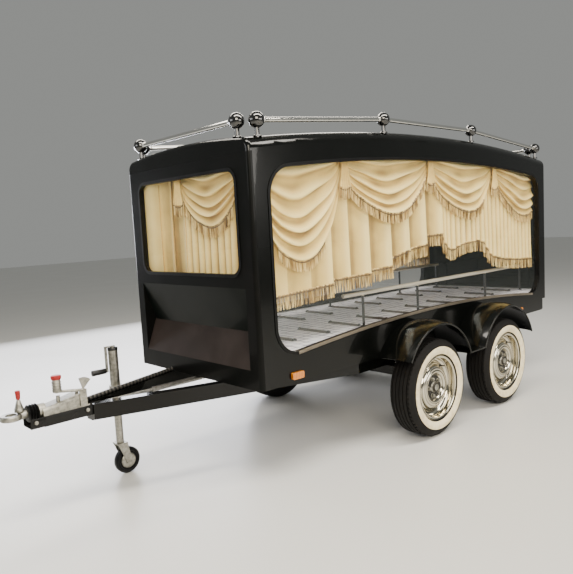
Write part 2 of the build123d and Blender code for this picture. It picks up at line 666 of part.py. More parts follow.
def roof_body(shrink):
    """Roof section swept round the arch and trimmed to the body's length."""
    sweep_deg = degrees(asin((BODY_LEN / 2) / (LIP_R - ROOF_OVERCUT))) + 1.0
    face = Plane.YZ * roof_section(shrink)
    swept = revolve(face, Axis((0, 0, ARCH_CZ), (0, 1, 0)), revolution_arc=2 * sweep_deg)
    swept = Pos(MID_X, 0, ARCH_CZ) * Rot(0, -sweep_deg, 0) * Pos(0, 0, -ARCH_CZ) * swept
    trim = box(BODY_REAR_X + shrink, BODY_FRONT_X - shrink, -BODY_W, BODY_W,
               CHASSIS_TOP_Z, SHOULDER_TOP_Z + ROOF_CROWN + 100)
    return swept & trim


def roof():
    """Arched and crowned roof pan, its ends rounded like the body's corners."""
    outer = roof_body(0)
    ends = outer.edges().filter_by(lambda e: abs(e.center().X - MID_X) > BODY_LEN / 2 - 1)
    rim = ends.filter_by(lambda e: e.center().Z > arch_z(BODY_FRONT_X, LIP_R) + 1)
    return fillet(rim, CORNER_R) - roof_body(ROOF_T)


# Windows

def window_seals():
    """Rubber frames of the two side windows and the front window."""
    y0, y1 = HALF_W - WALL_T, HALF_W + SEAL_PROUD
    left = side_window(SEAL_W, y0, y1) - side_window(0, y0 - 1, y1 + 1)
    x0, x1 = WALL_FRONT_X, BODY_FRONT_X + SEAL_PROUD
    front = end_window(FRONT_WINDOW, SEAL_W, x0, x1) - end_window(FRONT_WINDOW, 0, x0 - 1, x1 + 1)
    return [left, mirrored_y(left), front]


def window_glass():
    """Panes of the two side windows and the front window."""
    y0 = HALF_W - WALL_T / 2 - GLASS_T / 2
    left = side_window(0, y0, y0 + GLASS_T)
    x0 = BODY_FRONT_X - FRONT_SKIN_T / 2 - GLASS_T / 2
    return [left, mirrored_y(left), end_window(FRONT_WINDOW, 0, x0, x0 + GLASS_T)]


def door_seal():
    x0, x1 = BODY_REAR_X - SEAL_PROUD, WALL_REAR_X
    return end_window(DOOR_WINDOW, SEAL_W, x0, x1) - end_window(DOOR_WINDOW, 0, x0 - 1, x1 + 1)


def door_glass():
    x0 = BODY_REAR_X + WALL_T / 2 - GLASS_T / 2
    return end_window(DOOR_WINDOW, 0, x0, x0 + GLASS_T)


# Interior

def deck():
    """Deck sheet on lengthwise ribs, slotted for the rollers."""
    half = HALF_W - WALL_T
    x0, x1 = WALL_REAR_X, DECK_FRONT_X
    sheet = box(x0, x1, -half, half, DECK_Z - DECK_T, DECK_Z)
    for x in roller_xs():
        for s in SIDES.values():
            a, b = s * (ROLLER_INNER_Y - ROLLER_END_GAP), s * (ROLLER_INNER_Y + ROLLER_L + ROLLER_END_GAP)
            sheet -= box(x - ROLLER_R - 5, x + ROLLER_R + 5, a, b, DECK_Z - DECK_T - 1, DECK_Z + 1)
    near, far = rib_faces()
    wall_rib = half - DECK_RIB_T / 2
    ribs = []
    for y in (0.0, near - DECK_RIB_T / 2, far + DECK_RIB_T / 2, wall_rib):
        for s in SIDES.values() if y else (1,):
            y0, y1 = s * y - DECK_RIB_T / 2, s * y + DECK_RIB_T / 2
            ribs.append(box(x0, x1, y0, y1, CHASSIS_TOP_Z, DECK_Z - DECK_T))
    return joined([sheet, *ribs])


def rib_faces():
    """Distances from the centre line of the two rib faces that hold a roller's pin."""
    near = ROLLER_INNER_Y - ROLLER_END_GAP
    return near, near + ROLLER_L + 2 * ROLLER_END_GAP


def roller_xs():
    """Roller lines, evenly pitched between the deck's ends."""
    first, last = DECK_FRONT_X - ROLLER_FRONT_SETBACK, WALL_REAR_X + ROLLER_REAR_SETBACK
    return [first + (last - first) * i / (ROLLERS - 1) for i in range(ROLLERS)]


def deck_rollers():
    """Two rows of loading rollers on pins, standing just proud of the deck."""
    z = DECK_Z + ROLLER_PROUD - ROLLER_R
    near, far = rib_faces()
    rollers = []
    for x in roller_xs():
        for s in SIDES.values():
            barrel = rod((x, s * ROLLER_INNER_Y, z), (x, s * (ROLLER_INNER_Y + ROLLER_L), z), ROLLER_R)
            pin = rod((x, s * near, z - ROLLER_PIN_DROP), (x, s * far, z - ROLLER_PIN_DROP), ROLLER_PIN_R)
            rollers.append(barrel + pin)
    return rollers


def bier_rail(s):
    """Polished guard rail on posts along one side of the deck."""
    y = s * BIER_Y
    x0, x1 = BIER_POST_XS[-1] - BIER_RAIL_BEHIND, BIER_POST_XS[0] + BIER_RAIL_AHEAD
    rail = rod((x0, y, BIER_Z), (x1, y, BIER_Z), BIER_R)
    posts = []
    for x in BIER_POST_XS:
        posts.append(rod((x, y, DECK_Z), (x, y, BIER_Z), BIER_POST_R))
        posts.append(Pos(x, y, DECK_Z + 3) * Cylinder(18, 6))
    return joined([rail, *posts])


def side_curtain():
    """Left curtain: a panel on the wall's inner face, arched along its head."""
    y_wall = HALF_W - WALL_T
    y_in = y_wall - CURTAIN_T
    half = BODY_LEN / 2 - SIDE_WINDOW_MARGIN + CURTAIN_OVERLAP
    x0, x1 = MID_X - half, MID_X + half
    drop = SHOULDER_TOP_Z - SIDE_HEAD_Z - CURTAIN_HEAD_GAP - CURTAIN_HEAD_H
    return arch_slab(x0, x1, ARCH_R - drop, CURTAIN_HEM_Z, y_in, y_wall)


def end_curtain(size, x_wall, way):
    """Curtain of an end window of that (width, height), on the inner face at x_wall."""
    width, height = size
    half = (width + CURTAIN_OVERLAP) / 2
    z0, z1 = END_WINDOW_Z - SEAL_W, END_WINDOW_Z + height + SEAL_W + CURTAIN_HEAD_H
    return box(x_wall, x_wall + way * CURTAIN_T, -half, half, z0, z1)


def curtains():
    left = side_curtain()
    front = end_curtain(FRONT_WINDOW, WALL_FRONT_X, -1)
    return [left, mirrored_y(left), front]


def door_curtain():
    return end_curtain(DOOR_WINDOW, WALL_REAR_X, 1)


# Roof gallery

def gallery_balls():
    """Ball centres: the side rows, then the front and rear pairs."""
    pitch = (BODY_LEN - 2 * GALLERY_MARGIN) / (GALLERY_BALLS - 1)
    rows = {}
    for name, s in SIDES.items():
        rows[name] = [ball_centre(BODY_FRONT_X - GALLERY_MARGIN - i * pitch, s * GALLERY_Y)
                      for i in range(GALLERY_BALLS)]
    for name, x in (("front", BODY_FRONT_X - CROSS_MARGIN), ("rear", BODY_REAR_X + CROSS_MARGIN)):
        rows[name] = [ball_centre(x, CROSS_Y), ball_centre(x, -CROSS_Y)]
    return rows


def roof_z(x, y):
    """Height of the roof's outer surface."""
    cy = HALF_W - SHOULDER_R
    if abs(y) > cy:
        return arch_z(x) - SHOULDER_R + sqrt(SHOULDER_R ** 2 - (abs(y) - cy) ** 2)
    crown_r = (cy ** 2 + ROOF_CROWN ** 2) / (2 * ROOF_CROWN)
    return arch_z(x) + ROOF_CROWN - crown_r + sqrt(crown_r ** 2 - y ** 2)


def ball_centre(x, y):
    return (x, y, roof_z(x, y) + BALL_HEIGHT)


def roof_rail_posts():
    """Ball, stem and foot, seated on the roof."""
    shell = roof_body(0)
    posts = []
    for row in gallery_balls().values():
        for x, y, z in row:
            ball = Pos(x, y, z) * Sphere(BALL_R)
            stem = rod((x, y, z - BALL_HEIGHT - 30), (x, y, z), STEM_R)
            posts.append(ball + (stem - shell))
    return posts


def roof_rail_tubes():
    """Tubes between neighbouring balls, their flat ends just clear of each ball."""
    tubes = []
    for row in gallery_balls().values():
        for a, b in zip(row, row[1:]):
            a, b = Vector(*a), Vector(*b)
            clear = (b - a).normalized() * (BALL_R + SOFT_GAP)
            tubes.append(rod((a + clear).to_tuple(), (b - clear).to_tuple(), TUBE_R))
    return tubes


# Lamps and bumper

def side_marker_lamps():
    """Lamps on the chassis side rails: a long one in front, a small round one behind."""
    lamps = []
    for s in SIDES.values():
        lens = box(MARKER_X - 42, MARKER_X + 42, s * HALF_W, s * (HALF_W + 16), MARKER_Z - 19, MARKER_Z + 19)
        lamps.append(fillet(lens.edges().filter_by(Axis.Y), 9))
        x = BODY_REAR_X + REAR_MARKER_INSET
        lamps.append(rod((x, s * HALF_W, MARKER_Z + 12), (x, s * (HALF_W + 12), MARKER_Z + 12), 17))
    return lamps


def rear_bumper():
    """Beam across the chassis' tail, under the body."""
    beam = box(TAIL_X - BUMPER_T, TAIL_X, -HALF_W + 4, HALF_W - 4, CHASSIS_Z + 4, CHASSIS_TOP_Z - 4)
    return fillet(beam.edges().filter_by(Axis.Z).group_by(Axis.X)[0], 18)


def tail_lamps():
    """Lamp clusters on the bumper."""
    x = TAIL_X - BUMPER_T
    lamps = []
    for s in SIDES.values():
        lens = box(x - 22, x, s * TAIL_LAMP_Y - 95, s * TAIL_LAMP_Y + 95, CHASSIS_Z + 16, CHASSIS_TOP_Z - 16)
        lamps.append(fillet(lens.edges().filter_by(Axis.X), 12))
    return lamps


# Jockey wheel

def jockey_tube():
    """Outer tube, its clamp and the bracket on the drawbar's right rail."""
    x, y = JOCKEY_X, JOCKEY_Y
    tube = rod((x, y, JOCKEY_TUBE_BOTTOM_Z), (x, y, JOCKEY_TUBE_TOP_Z), JOCKEY_TUBE_R)
    zc = DRAWBAR_Z + DRAWBAR_H / 2
    collar = Pos(x, y, zc) * Cylinder(JOCKEY_TUBE_R + 9, 66)
    inside = drawbar_y(x)
    outline = [(x - 26, y), (x + 26, y), (x + 26, -inside), (x - 26, -inside)]
    bracket = xy_prism(outline, zc - 27, zc + 27) - mirrored_y(drawbar_rail())
    bracket = bracket.solids().sort_by(Axis.Y)[0]
    bore = rod((x, y, JOCKEY_TUBE_BOTTOM_Z - 1), (x, y, JOCKEY_TUBE_TOP_Z - 18), JOCKEY_LEG_R + RUNNING_GAP)
    return joined([tube, collar, bracket]) - bore


def jockey_crank():
    """Crank on the tube's head, folded down along it, with its grip."""
    z = JOCKEY_TUBE_TOP_Z
    reach = JOCKEY_TUBE_R + 16
    hub = Pos(JOCKEY_X, JOCKEY_Y, z + 7) * Cylinder(15, 14)
    arm = box(JOCKEY_X, JOCKEY_X + reach + 5, JOCKEY_Y - 8, JOCKEY_Y + 8, z + 6, z + 14)
    drop = box(JOCKEY_X + reach - 5, JOCKEY_X + reach + 5, JOCKEY_Y - 8, JOCKEY_Y + 8, z - 132, z + 14)
    grip = rod((JOCKEY_X + reach + 5, JOCKEY_Y, z - 124), (JOCKEY_X + reach + 88, JOCKEY_Y, z - 124), 13)
    return joined([hub, arm, drop, grip])


def jockey_leg():
    """Inner tube, bored at its foot for the fork's swivel pin."""
    x, y, z = JOCKEY_X, JOCKEY_Y, JOCKEY_FORK_TOP_Z + 8
    tube = rod((x, y, z), (x, y, JOCKEY_TUBE_BOTTOM_Z + 80), JOCKEY_LEG_R)
    return tube - rod((x, y, z - 1), (x, y, z + 32), JOCKEY_PIN_R + RUNNING_GAP)


def jockey_fork():
    """Castor fork: swivel pin, crown and two tapered cheeks down to the axle."""
    x, y, top = JOCKEY_X, JOCKEY_Y, JOCKEY_FORK_TOP_Z
    ax, az = x - JOCKEY_TRAIL, JOCKEY_R
    gap = JOCKEY_W / 2 + 5
    outer = gap + JOCKEY_FORK_T
    crown = box(x - 30, x + 30, y - outer, y + outer, top, top + 7)
    pin = rod((x, y, top), (x, y, top + 36), JOCKEY_PIN_R)
    cheek = [(x - 30, top + 7), (x + 30, top + 7), (ax + 16, az - 6), (ax, az - 15), (ax - 16, az - 6)]
    cheeks = [xz_prism(cheek, y + s * gap, y + s * outer) for s in SIDES.values()]
    axle_pin = rod((ax, y - outer - 5, az), (ax, y + outer + 5, az), JOCKEY_AXLE_R)
    return joined([crown, pin, *cheeks, axle_pin])


def jockey_wheel():
    """Solid-tyred castor wheel."""
    h, r, bore = JOCKEY_W / 2, JOCKEY_R, JOCKEY_AXLE_R + RUNNING_GAP
    side = [(bore, h + 2), (18, h + 2), (18, h - 6), (r - 22, h - 6), (r - 20, h - 2), (r - 8, h),
            (r, h - 12)]
    profile = side + [(radius, -y) for radius, y in reversed(side)]
    return Pos(0, JOCKEY_Y, 0) * turned_y(profile, JOCKEY_X - JOCKEY_TRAIL, r)


def nodes():
    """Every node's name with its solid or list of solids."""
    made = {
        "chassis_side_rails": chassis_side_rails(),
        "chassis_cross_members": chassis_cross_members(),
        "drawbar_frame": drawbar_frame(),
        "coupling_housing": coupling_housing(),
        "towing_eye": towing_eye(),
        "coupling_gaiter": coupling_gaiter(),
        "handbrake_lever": handbrake_lever(),
        "brake_rod": brake_rod(),
        "cable_conduit": cable_conduit(),
        "mudguards": [mudguard(), mirrored_y(mudguard())],
        "deck": deck(),
        "deck_rollers": deck_rollers(),
        "bier_rails": [bier_rail(s) for s in SIDES.values()],
        "side_walls": [side_wall(), mirrored_y(side_wall())],
        "front_panel": front_panel(),
        "rear_portal": rear_portal(),
        "roof": roof(),
        "window_glass": window_glass(),
        "window_seals": window_seals(),
        "curtains": curtains(),
        "roof_rail_posts": roof_rail_posts(),
        "roof_rail_tubes": roof_rail_tubes(),
        "side_marker_lamps": side_marker_lamps(),
        "tail_lamps": tail_lamps(),
        "rear_bumper": rear_bumper(),
        "jockey_tube": jockey_tube(),
        "jockey_crank": jockey_crank(),
        "rear_door": rear_door(),
        "door_glass": door_glass(),
        "door_seal": door_seal(),
        "door_curtain": door_curtain(),
        "door_handle": door_handle(),
        "jockey_leg": jockey_leg(),
        "jockey_fork": jockey_fork(),
        "jockey_wheel": jockey_wheel(),
    }
    for end, x in AXLE_XS.items():
        made[f"axle_{end}"] = axle(x)
        for side, s in SIDES.items():
            made[f"tyre_{end}_{side}"] = tyre(x, s)
            made[f"wheel_{end}_{side}"] = wheel(x, s)
    return made


def write_parts():
    os.makedirs("parts", exist_ok=True)
    for name, shape in nodes().items():
        solids = shape if isinstance(shape, list) else [shape]
        solids = [s for piece in solids for s in piece.solids()]
        part = solids[0] if len(solids) == 1 else Compound(children=solids)
        export_step(part, f"parts/{name}.step")
        print(name, len(solids))


write_parts()
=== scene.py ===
"""Looks of the funeral trailer: finishes, tyres, curtains, coupling fittings, camera and light, in metres."""
import json
import random
from math import atan2, cos, hypot, pi, radians, sin, sqrt
import bpy
from mathutils import Matrix, Vector


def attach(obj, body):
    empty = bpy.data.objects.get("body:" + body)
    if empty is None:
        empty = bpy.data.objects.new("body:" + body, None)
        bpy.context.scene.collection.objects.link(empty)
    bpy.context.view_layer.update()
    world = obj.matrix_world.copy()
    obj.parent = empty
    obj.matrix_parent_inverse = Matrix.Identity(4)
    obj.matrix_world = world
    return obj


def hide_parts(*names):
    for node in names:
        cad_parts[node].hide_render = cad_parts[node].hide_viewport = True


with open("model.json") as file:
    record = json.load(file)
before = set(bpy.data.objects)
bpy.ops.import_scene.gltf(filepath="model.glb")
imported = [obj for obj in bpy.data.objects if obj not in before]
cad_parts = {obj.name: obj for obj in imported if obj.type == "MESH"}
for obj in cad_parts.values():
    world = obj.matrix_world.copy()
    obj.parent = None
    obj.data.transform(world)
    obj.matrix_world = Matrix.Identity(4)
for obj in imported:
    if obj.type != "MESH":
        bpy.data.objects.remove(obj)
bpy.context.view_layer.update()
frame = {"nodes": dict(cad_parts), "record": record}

SIDES = {"left": 1, "right": -1}
AXLE_X = {"front": -0.140, "rear": -1.025}
TYRE_R = 0.310
WHEEL_Y = 0.735
MID_X = -0.520
RAIL_Z = 0.9055
WHEEL_STEP = 0.0165
BAND_TURN = 6.28
ARCH_HALF, ARCH_RISE = 1.65, 0.105
ARCH_R = (ARCH_HALF ** 2 + ARCH_RISE ** 2) / (2 * ARCH_RISE)


# Finishes

def colour(code):
    """Linear colour from an sRGB hex value."""
    parts = [int(code[i:i + 2], 16) / 255 for i in (1, 3, 5)]
    return tuple(c / 12.92 if c <= 0.04045 else ((c + 0.055) / 1.055) ** 2.4 for c in parts) + (1.0,)


def per_mm(size):
    """Pattern scale that repeats about once in that many millimetres."""
    return 1000.0 / size


def add(tree, kind, sockets=(), stops=(), **settings):
    """Adds a node with its settings, its socket values and links, and the stops of its ramp."""
    made = tree.nodes.new("ShaderNode" + kind)
    for name, value in settings.items():
        setattr(made, name, value)
    for name, value in dict(sockets).items():
        socket = made.inputs[name]
        if isinstance(value, bpy.types.NodeSocket):
            tree.links.new(value, socket)
        else:
            socket.default_value = value
    if stops:
        elements = made.color_ramp.elements
        while len(elements) < len(stops):
            elements.new(0.5)
        for element, (place, code) in zip(elements, stops):
            element.position = place
            element.color = colour(code)
    return made


def finish(name, values, uv=False):
    """New material with its tree, shader and the coordinates that its patterns read."""
    made = bpy.data.materials.new(name)
    made.use_nodes = True
    tree = made.node_tree
    shader = tree.nodes["Principled BSDF"]
    for socket, value in values.items():
        shader.inputs[socket].default_value = value
    coords = add(tree, "TexCoord").outputs["UV" if uv else "Object"]
    return made, tree, shader, coords


def clouds(tree, coords, size, detail):
    """Soft noise in patches of about that size in millimetres."""
    return add(tree, "TexNoise", {"Vector": coords, "Scale": per_mm(size), "Detail": detail}).outputs["Fac"]


def bands(tree, coords, wide, way="X", bent=0.0):
    """Straight bands, light and dark by turns, each about that many millimetres wide."""
    return add(tree, "TexWave", {"Vector": coords, "Scale": per_mm(wide) / BAND_TURN, "Distortion": bent},
               bands_direction=way).outputs["Fac"]


def scaled(tree, value, by, plus=0.0):
    """A value times another, plus a third."""
    return add(tree, "Math", {0: value, 1: by, 2: plus}, operation="MULTIPLY_ADD").outputs[0]


def ranged(tree, value, low, high, start=0.0, end=1.0):
    """A value brought from its own limits to new ones."""
    return add(tree, "MapRange", {"Value": value, "From Min": start, "From Max": end,
                                  "To Min": low, "To Max": high}).outputs["Result"]


def facing_up(tree):
    """How far each face looks up, from its normal."""
    normal = add(tree, "NewGeometry").outputs["Normal"]
    return add(tree, "SeparateXYZ", {"Vector": normal}).outputs["Z"]


def tinted(tree, shader, value, stops):
    """Base colour from a value, by the stops of a ramp."""
    ramp = add(tree, "ValToRGB", {"Fac": value}, stops)
    tree.links.new(ramp.outputs["Color"], shader.inputs["Base Color"])


def mottled(tree, coords, shader, socket, size, low, high, detail=4.0):
    """Lets a value drift between two levels in patches of that size in millimetres."""
    noise = clouds(tree, coords, size, detail)
    level = ranged(tree, noise, low, high, 0.3, 0.7)
    tree.links.new(level, shader.inputs[socket])
    return noise


def raised(tree, shader, height, strength, distance, socket="Normal"):
    """Relief on the surface from a height pattern, its depth in millimetres."""
    bump = add(tree, "Bump", {"Height": height, "Strength": strength, "Distance": distance / 1000})
    tree.links.new(bump.outputs["Normal"], shader.inputs[socket])


def patchy(name, values, rough, stops=()):
    """Finish that drifts in patches: their size in millimetres, lowest and highest roughness, and its tints."""
    made, tree, shader, coords = finish(name, values)
    noise = mottled(tree, coords, shader, "Roughness", *rough)
    if stops:
        tinted(tree, shader, noise, stops)
    return made


def coach_black():
    """Two-pack black coach paint, sprayed and polished: deep gloss, faint orange peel, a little polish haze."""
    made, tree, shader, coords = finish("coach_black_paint", {
        "Base Color": colour("#060706"), "Coat Weight": 0.28, "Coat Roughness": 0.02, "Specular IOR Level": 0.12})
    mottled(tree, coords, shader, "Roughness", 260, 0.14, 0.26)
    raised(tree, shader, clouds(tree, coords, 9, 1.0), 0.05, 0.4, "Coat Normal")
    return made


def nose_black():
    """The same coach paint on the nose, duller, with painted reflection in its colour: faintly green on faces that
    look sideways and down, brownish grey on faces that look up, drifting a little in patches.
    """
    made, tree, shader, coords = finish("coach_black_nose", {
        "Coat Weight": 0.07, "Coat Roughness": 0.06, "Specular IOR Level": 0.06})
    noise = mottled(tree, coords, shader, "Roughness", 160, 0.30, 0.44)
    # painted reflection: the tint follows which way each face looks
    reflection_tint = scaled(tree, noise, 0.35, facing_up(tree))
    tinted(tree, shader, reflection_tint, [(0.0, "#0A0E0C"), (0.22, "#0B0B0A"), (0.75, "#38302D")])
    return made


def chassis_enamel():
    """Black chassis enamel, sprayed over welded steel: half gloss, dulled by dust on what faces up."""
    made, tree, shader, coords = finish("chassis_enamel", {"Specular IOR Level": 0.28})
    noise = mottled(tree, coords, shader, "Roughness", 60, 0.22, 0.42)
    dust = scaled(tree, facing_up(tree), noise)
    tinted(tree, shader, dust, [(0.35, "#070706"), (0.85, "#1C1A18")])
    raised(tree, shader, clouds(tree, coords, 14, 2.0), 0.12, 0.5)
    return made


def chrome_plate():
    """Chromium plate on polished steel: mirror bright, with dried water marks and fine wipe haze."""
    return patchy("chrome_plate", {"Base Color": colour("#DCDBD6"), "Metallic": 1.0}, (35, 0.05, 0.16, 6.0))


def wheel_chrome(end):
    """Chromium plate on a pressed steel wheel: rolled steps 16 mm apart with every other one a darker grey, and
    near black, rougher and less metallic within about 87 mm of the axle.
    """
    made, tree, shader, coords = finish(f"wheel_chrome_{end}", {})
    centred = add(tree, "Mapping", {"Vector": coords, "Location": (-AXLE_X[end], 0.0, -TYRE_R)})
    split = add(tree, "SeparateXYZ", {"Vector": centred.outputs["Vector"]})
    flat = add(tree, "CombineXYZ", {"X": split.outputs["X"], "Z": split.outputs["Z"]})
    away = add(tree, "VectorMath", {0: flat.outputs["Vector"]}, operation="LENGTH")
    wheel_noise = clouds(tree, coords, 30, 5.0)
    edge = scaled(tree, wheel_noise, 0.022, away.outputs["Value"])
    dark = ranged(tree, edge, 1.0, 0.0, 0.082, 0.092)
    turns = scaled(tree, away.outputs["Value"], 2 * pi / WHEEL_STEP)
    pressed = add(tree, "Math", {0: turns}, operation="SINE").outputs[0]
    # darker grey in every other step, near black towards the hub
    step_and_hub_tone = scaled(tree, pressed, 0.16, dark)
    tinted(tree, shader, step_and_hub_tone, [(0.0, "#CFC9B8"), (0.16, "#837D6E"), (1.0, "#151412")])
    raised(tree, shader, pressed, 0.55, 1.6)
    bright = ranged(tree, dark, 1.0, 0.35)
    tree.links.new(bright, shader.inputs["Metallic"])
    rough = scaled(tree, wheel_noise, 0.14, 0.03)
    rougher = scaled(tree, dark, 0.45, rough)
    tree.links.new(rougher, shader.inputs["Roughness"])
    return made


def zinc_plate():
    """Zinc plate on cast steel: pale blue-grey, cloudy, with a grain of fine sand."""
    made, tree, shader, coords = finish("zinc_plate", {"Metallic": 1.0})
    noise = mottled(tree, coords, shader, "Roughness", 18, 0.32, 0.52)
    tinted(tree, shader, noise, [(0.3, "#7E7C74"), (0.7, "#B4B1A6")])
    raised(tree, shader, clouds(tree, coords, 1.5, 2.0), 0.25, 0.3)
    return made


def bare_steel():
    """Drawn steel bar, greased: mid grey in cloudy patches."""
    return patchy("bare_steel", {"Metallic": 1.0}, (12, 0.28, 0.5), [(0.3, "#6E6C68"), (0.7, "#9D9B96")])


def deck_plate():
    """Embossed aluminium sheet, pale lacquered: small raised squares, drawn 34 mm wide so that they show."""
    made, tree, shader, coords = finish("embossed_aluminium", {"Metallic": 0.15})
    noise = mottled(tree, coords, shader, "Roughness", 90, 0.3, 0.5)
    across = bands(tree, coords, 34, "X", 0.4)
    along = bands(tree, coords, 34, "Y", 0.4)
    squares = scaled(tree, across, along)
    mix = scaled(tree, noise, 0.5, squares)
    tinted(tree, shader, mix, [(0.24, "#A8A4B0"), (0.34, "#F3F1F8"), (0.8, "#FFFFFF")])
    raised(tree, shader, squares, 0.7, 1.5)
    return made


def tyre_rubber():
    """Carbon-black tyre rubber, moulded: dull, greyed by road dust in patches."""
    made, tree, shader, coords = finish("tyre_rubber", {"Specular IOR Level": 0.22})
    noise = mottled(tree, coords, shader, "Roughness", 40, 0.62, 0.86)
    tinted(tree, shader, noise, [(0.3, "#080707"), (0.75, "#171513")])
    raised(tree, shader, clouds(tree, coords, 3, 3.0), 0.3, 0.4)
    return made


def white_rubber():
    """White-wall rubber, buffed: warm cream, a little stained in patches."""
    return patchy("white_wall_rubber", {"Specular IOR Level": 0.4}, (30, 0.45, 0.65),
                  [(0.3, "#DCCBA0"), (0.7, "#F2E6C4")])


def seal_rubber():
    """Extruded EPDM glazing rubber: black with a soft shine."""
    return patchy("seal_rubber", {"Base Color": colour("#050505"), "Specular IOR Level": 0.2}, (50, 0.3, 0.48))


def moulded_black():
    """Black ABS, moulded: even half gloss with a fine leather grain."""
    made, tree, shader, coords = finish("moulded_black", {"Base Color": colour("#0D0D0D"), "Roughness": 0.34})
    grain = add(tree, "TexVoronoi", {"Vector": coords, "Scale": per_mm(1.6)})
    raised(tree, shader, grain.outputs["Distance"], 0.2, 0.2)
    return made


def ball_black():
    """Phenolic ball, polished: the deepest gloss on the trailer."""
    return patchy("phenolic_black", {"Base Color": colour("#060606"), "Coat Weight": 1.0, "Coat Roughness": 0.02},
                  (40, 0.06, 0.12))


def window_pane():
    """Toughened float glass: nearly clear with a cool grey reflection of its surroundings."""
    return patchy("toughened_glass", {"Base Color": colour("#DDE5E1"), "Metallic": 1.0, "Alpha": 0.07},
                  (400, 0.015, 0.035))


def bier_rail_finish():
    """Satin stainless rail, pale and softly bright above 0.9055 m; below that height black, as black enamel on the
    posts and as painted shade on the rail's lower side.
    """
    made, tree, shader, coords = finish("bier_rail_stainless", {})
    height = add(tree, "SeparateXYZ", {"Vector": coords})
    # painted shade: black below this height, stainless above it
    lit_top = ranged(tree, height.outputs["Z"], 0.0, 1.0, RAIL_Z, RAIL_Z + 0.002)
    noise = mottled(tree, coords, shader, "Roughness", 30, 0.28, 0.42)
    tinted(tree, shader, lit_top, [(0.0, "#161513"), (1.0, "#E4DCC8")])
    metal = ranged(tree, lit_top, 0.0, 0.55)
    tree.links.new(metal, shader.inputs["Metallic"])
    raised(tree, shader, noise, 0.05, 0.3)
    return made


def roller_steel():
    """Turned steel roller, oiled: brown-grey with rings 4 mm wide round it."""
    made, tree, shader, coords = finish("roller_steel", {"Metallic": 0.6})
    mottled(tree, coords, shader, "Roughness", 25, 0.32, 0.5)
    tinted(tree, shader, bands(tree, coords, 4, "Y"), [(0.2, "#4A4641"), (0.8, "#6E675E")])
    return made


def ribbed_conduit():
    """Corrugated polyamide conduit: dark grey, its ribs drawn 13 mm wide so that they show."""
    made, tree, shader, coords = finish("ribbed_conduit", {"Roughness": 0.42})
    ribs = bands(tree, coords, 13)
    tinted(tree, shader, ribs, [(0.2, "#060606"), (0.9, "#4A4844")])
    raised(tree, shader, ribs, 0.9, 3.0)
    return made


def sill_trim():
    """Anodised aluminium capping, brushed along its length; its pale bronze-grey is painted reflection of the
    bright surround and the cream curtains.
    """
    made, tree, shader, coords = finish("anodised_sill_trim", {"Metallic": 0.8})
    stretch = add(tree, "Mapping", {"Vector": coords, "Scale": (0.05, 1.0, 1.0)})
    brush = clouds(tree, stretch.outputs["Vector"], 3, 3.0)
    # painted reflection: the pale bronze-grey tints
    tinted(tree, shader, brush, [(0.3, "#6A6256"), (0.7, "#958B7C")])
    rough = ranged(tree, brush, 0.28, 0.45)
    tree.links.new(rough, shader.inputs["Roughness"])
    return made


def lens(name, light, dark):
    """Moulded acrylic lens, clear-coated so that it glints, its ribs 6 mm wide in turn along the trailer."""
    made, tree, shader, coords = finish(name, {
        "Roughness": 0.12, "Coat Weight": 1.0, "Coat Roughness": 0.04, "Transmission Weight": 0.15})
    ribs = bands(tree, coords, 6)
    tinted(tree, shader, ribs, [(0.0, dark), (1.0, light)])
    raised(tree, shader, ribs, 0.5, 1.0)
    return made


def red_cap():
    """Red nylon, moulded: bright, dulled in patches where it is handled."""
    return patchy("red_nylon", {}, (8, 0.3, 0.5), [(0.3, "#7A0806"), (0.7, "#A3120D")])


def curtain_satin():
    """Woven cream satin with painted shade and highlight: tan in the valleys of its folds, bright on its ridges;
    its fine weft drawn 2 mm wide to show.
    """
    made, tree, shader, coords = finish("curtain_satin", {
        "Sheen Weight": 0.25, "Sheen Roughness": 0.4,
        "Subsurface Weight": 0.05, "Subsurface Scale": 0.01}, uv=True)
    mottled(tree, coords, shader, "Roughness", 120, 0.5, 0.68)
    shade = clouds(tree, coords, 180, 3.0)
    # painted shade in the fold valleys and painted highlight on the ridges, from the cloth's fold relief
    painted_fold_shade = add(tree, "Attribute", attribute_name="fold")
    mix = scaled(tree, shade, 0.30, painted_fold_shade.outputs["Fac"])
    tinted(tree, shader, mix, [(0.14, "#6E5426"), (0.40, "#B0904A"), (0.62, "#E6C772"), (0.95, "#FFE698")])
    raised(tree, shader, bands(tree, coords, 2, "Y", 1.0), 0.15, 0.3)
    return made


def cord_viscose():
    """Twisted viscose cord: golden brown, with painted shade darkening its twist between the strands."""
    made, tree, shader, coords = finish("cord_viscose", {"Sheen Weight": 0.2, "Roughness": 0.5}, uv=True)
    # painted shade in the twist between the strands
    tinted(tree, shader, bands(tree, coords, 6, "DIAGONAL"), [(0.1, "#3E2C10"), (0.7, "#80622E")])
    return made


def fringe_viscose():
    """Twisted viscose bullion: glossy cream cords in bunches, with painted shade in deep gold stripes where they
    stand apart.
    """
    made, tree, shader, coords = finish("fringe_viscose", {"Sheen Weight": 0.2, "Sheen Roughness": 0.3}, uv=True)
    mottled(tree, coords, shader, "Roughness", 60, 0.4, 0.6)
    upright = add(tree, "Mapping", {"Vector": coords, "Scale": (1.0, 0.05, 1.0)})
    # painted shade: dark gold stripes between the bright bunches
    bunch_gap_shade = clouds(tree, upright.outputs["Vector"], 13, 1.0)
    tinted(tree, shader, bunch_gap_shade, [(0.34, "#5A4016"), (0.46, "#B89450"), (0.60, "#F2D890")])
    raised(tree, shader, bands(tree, coords, 7, "DIAGONAL"), 0.3, 0.6)
    return made


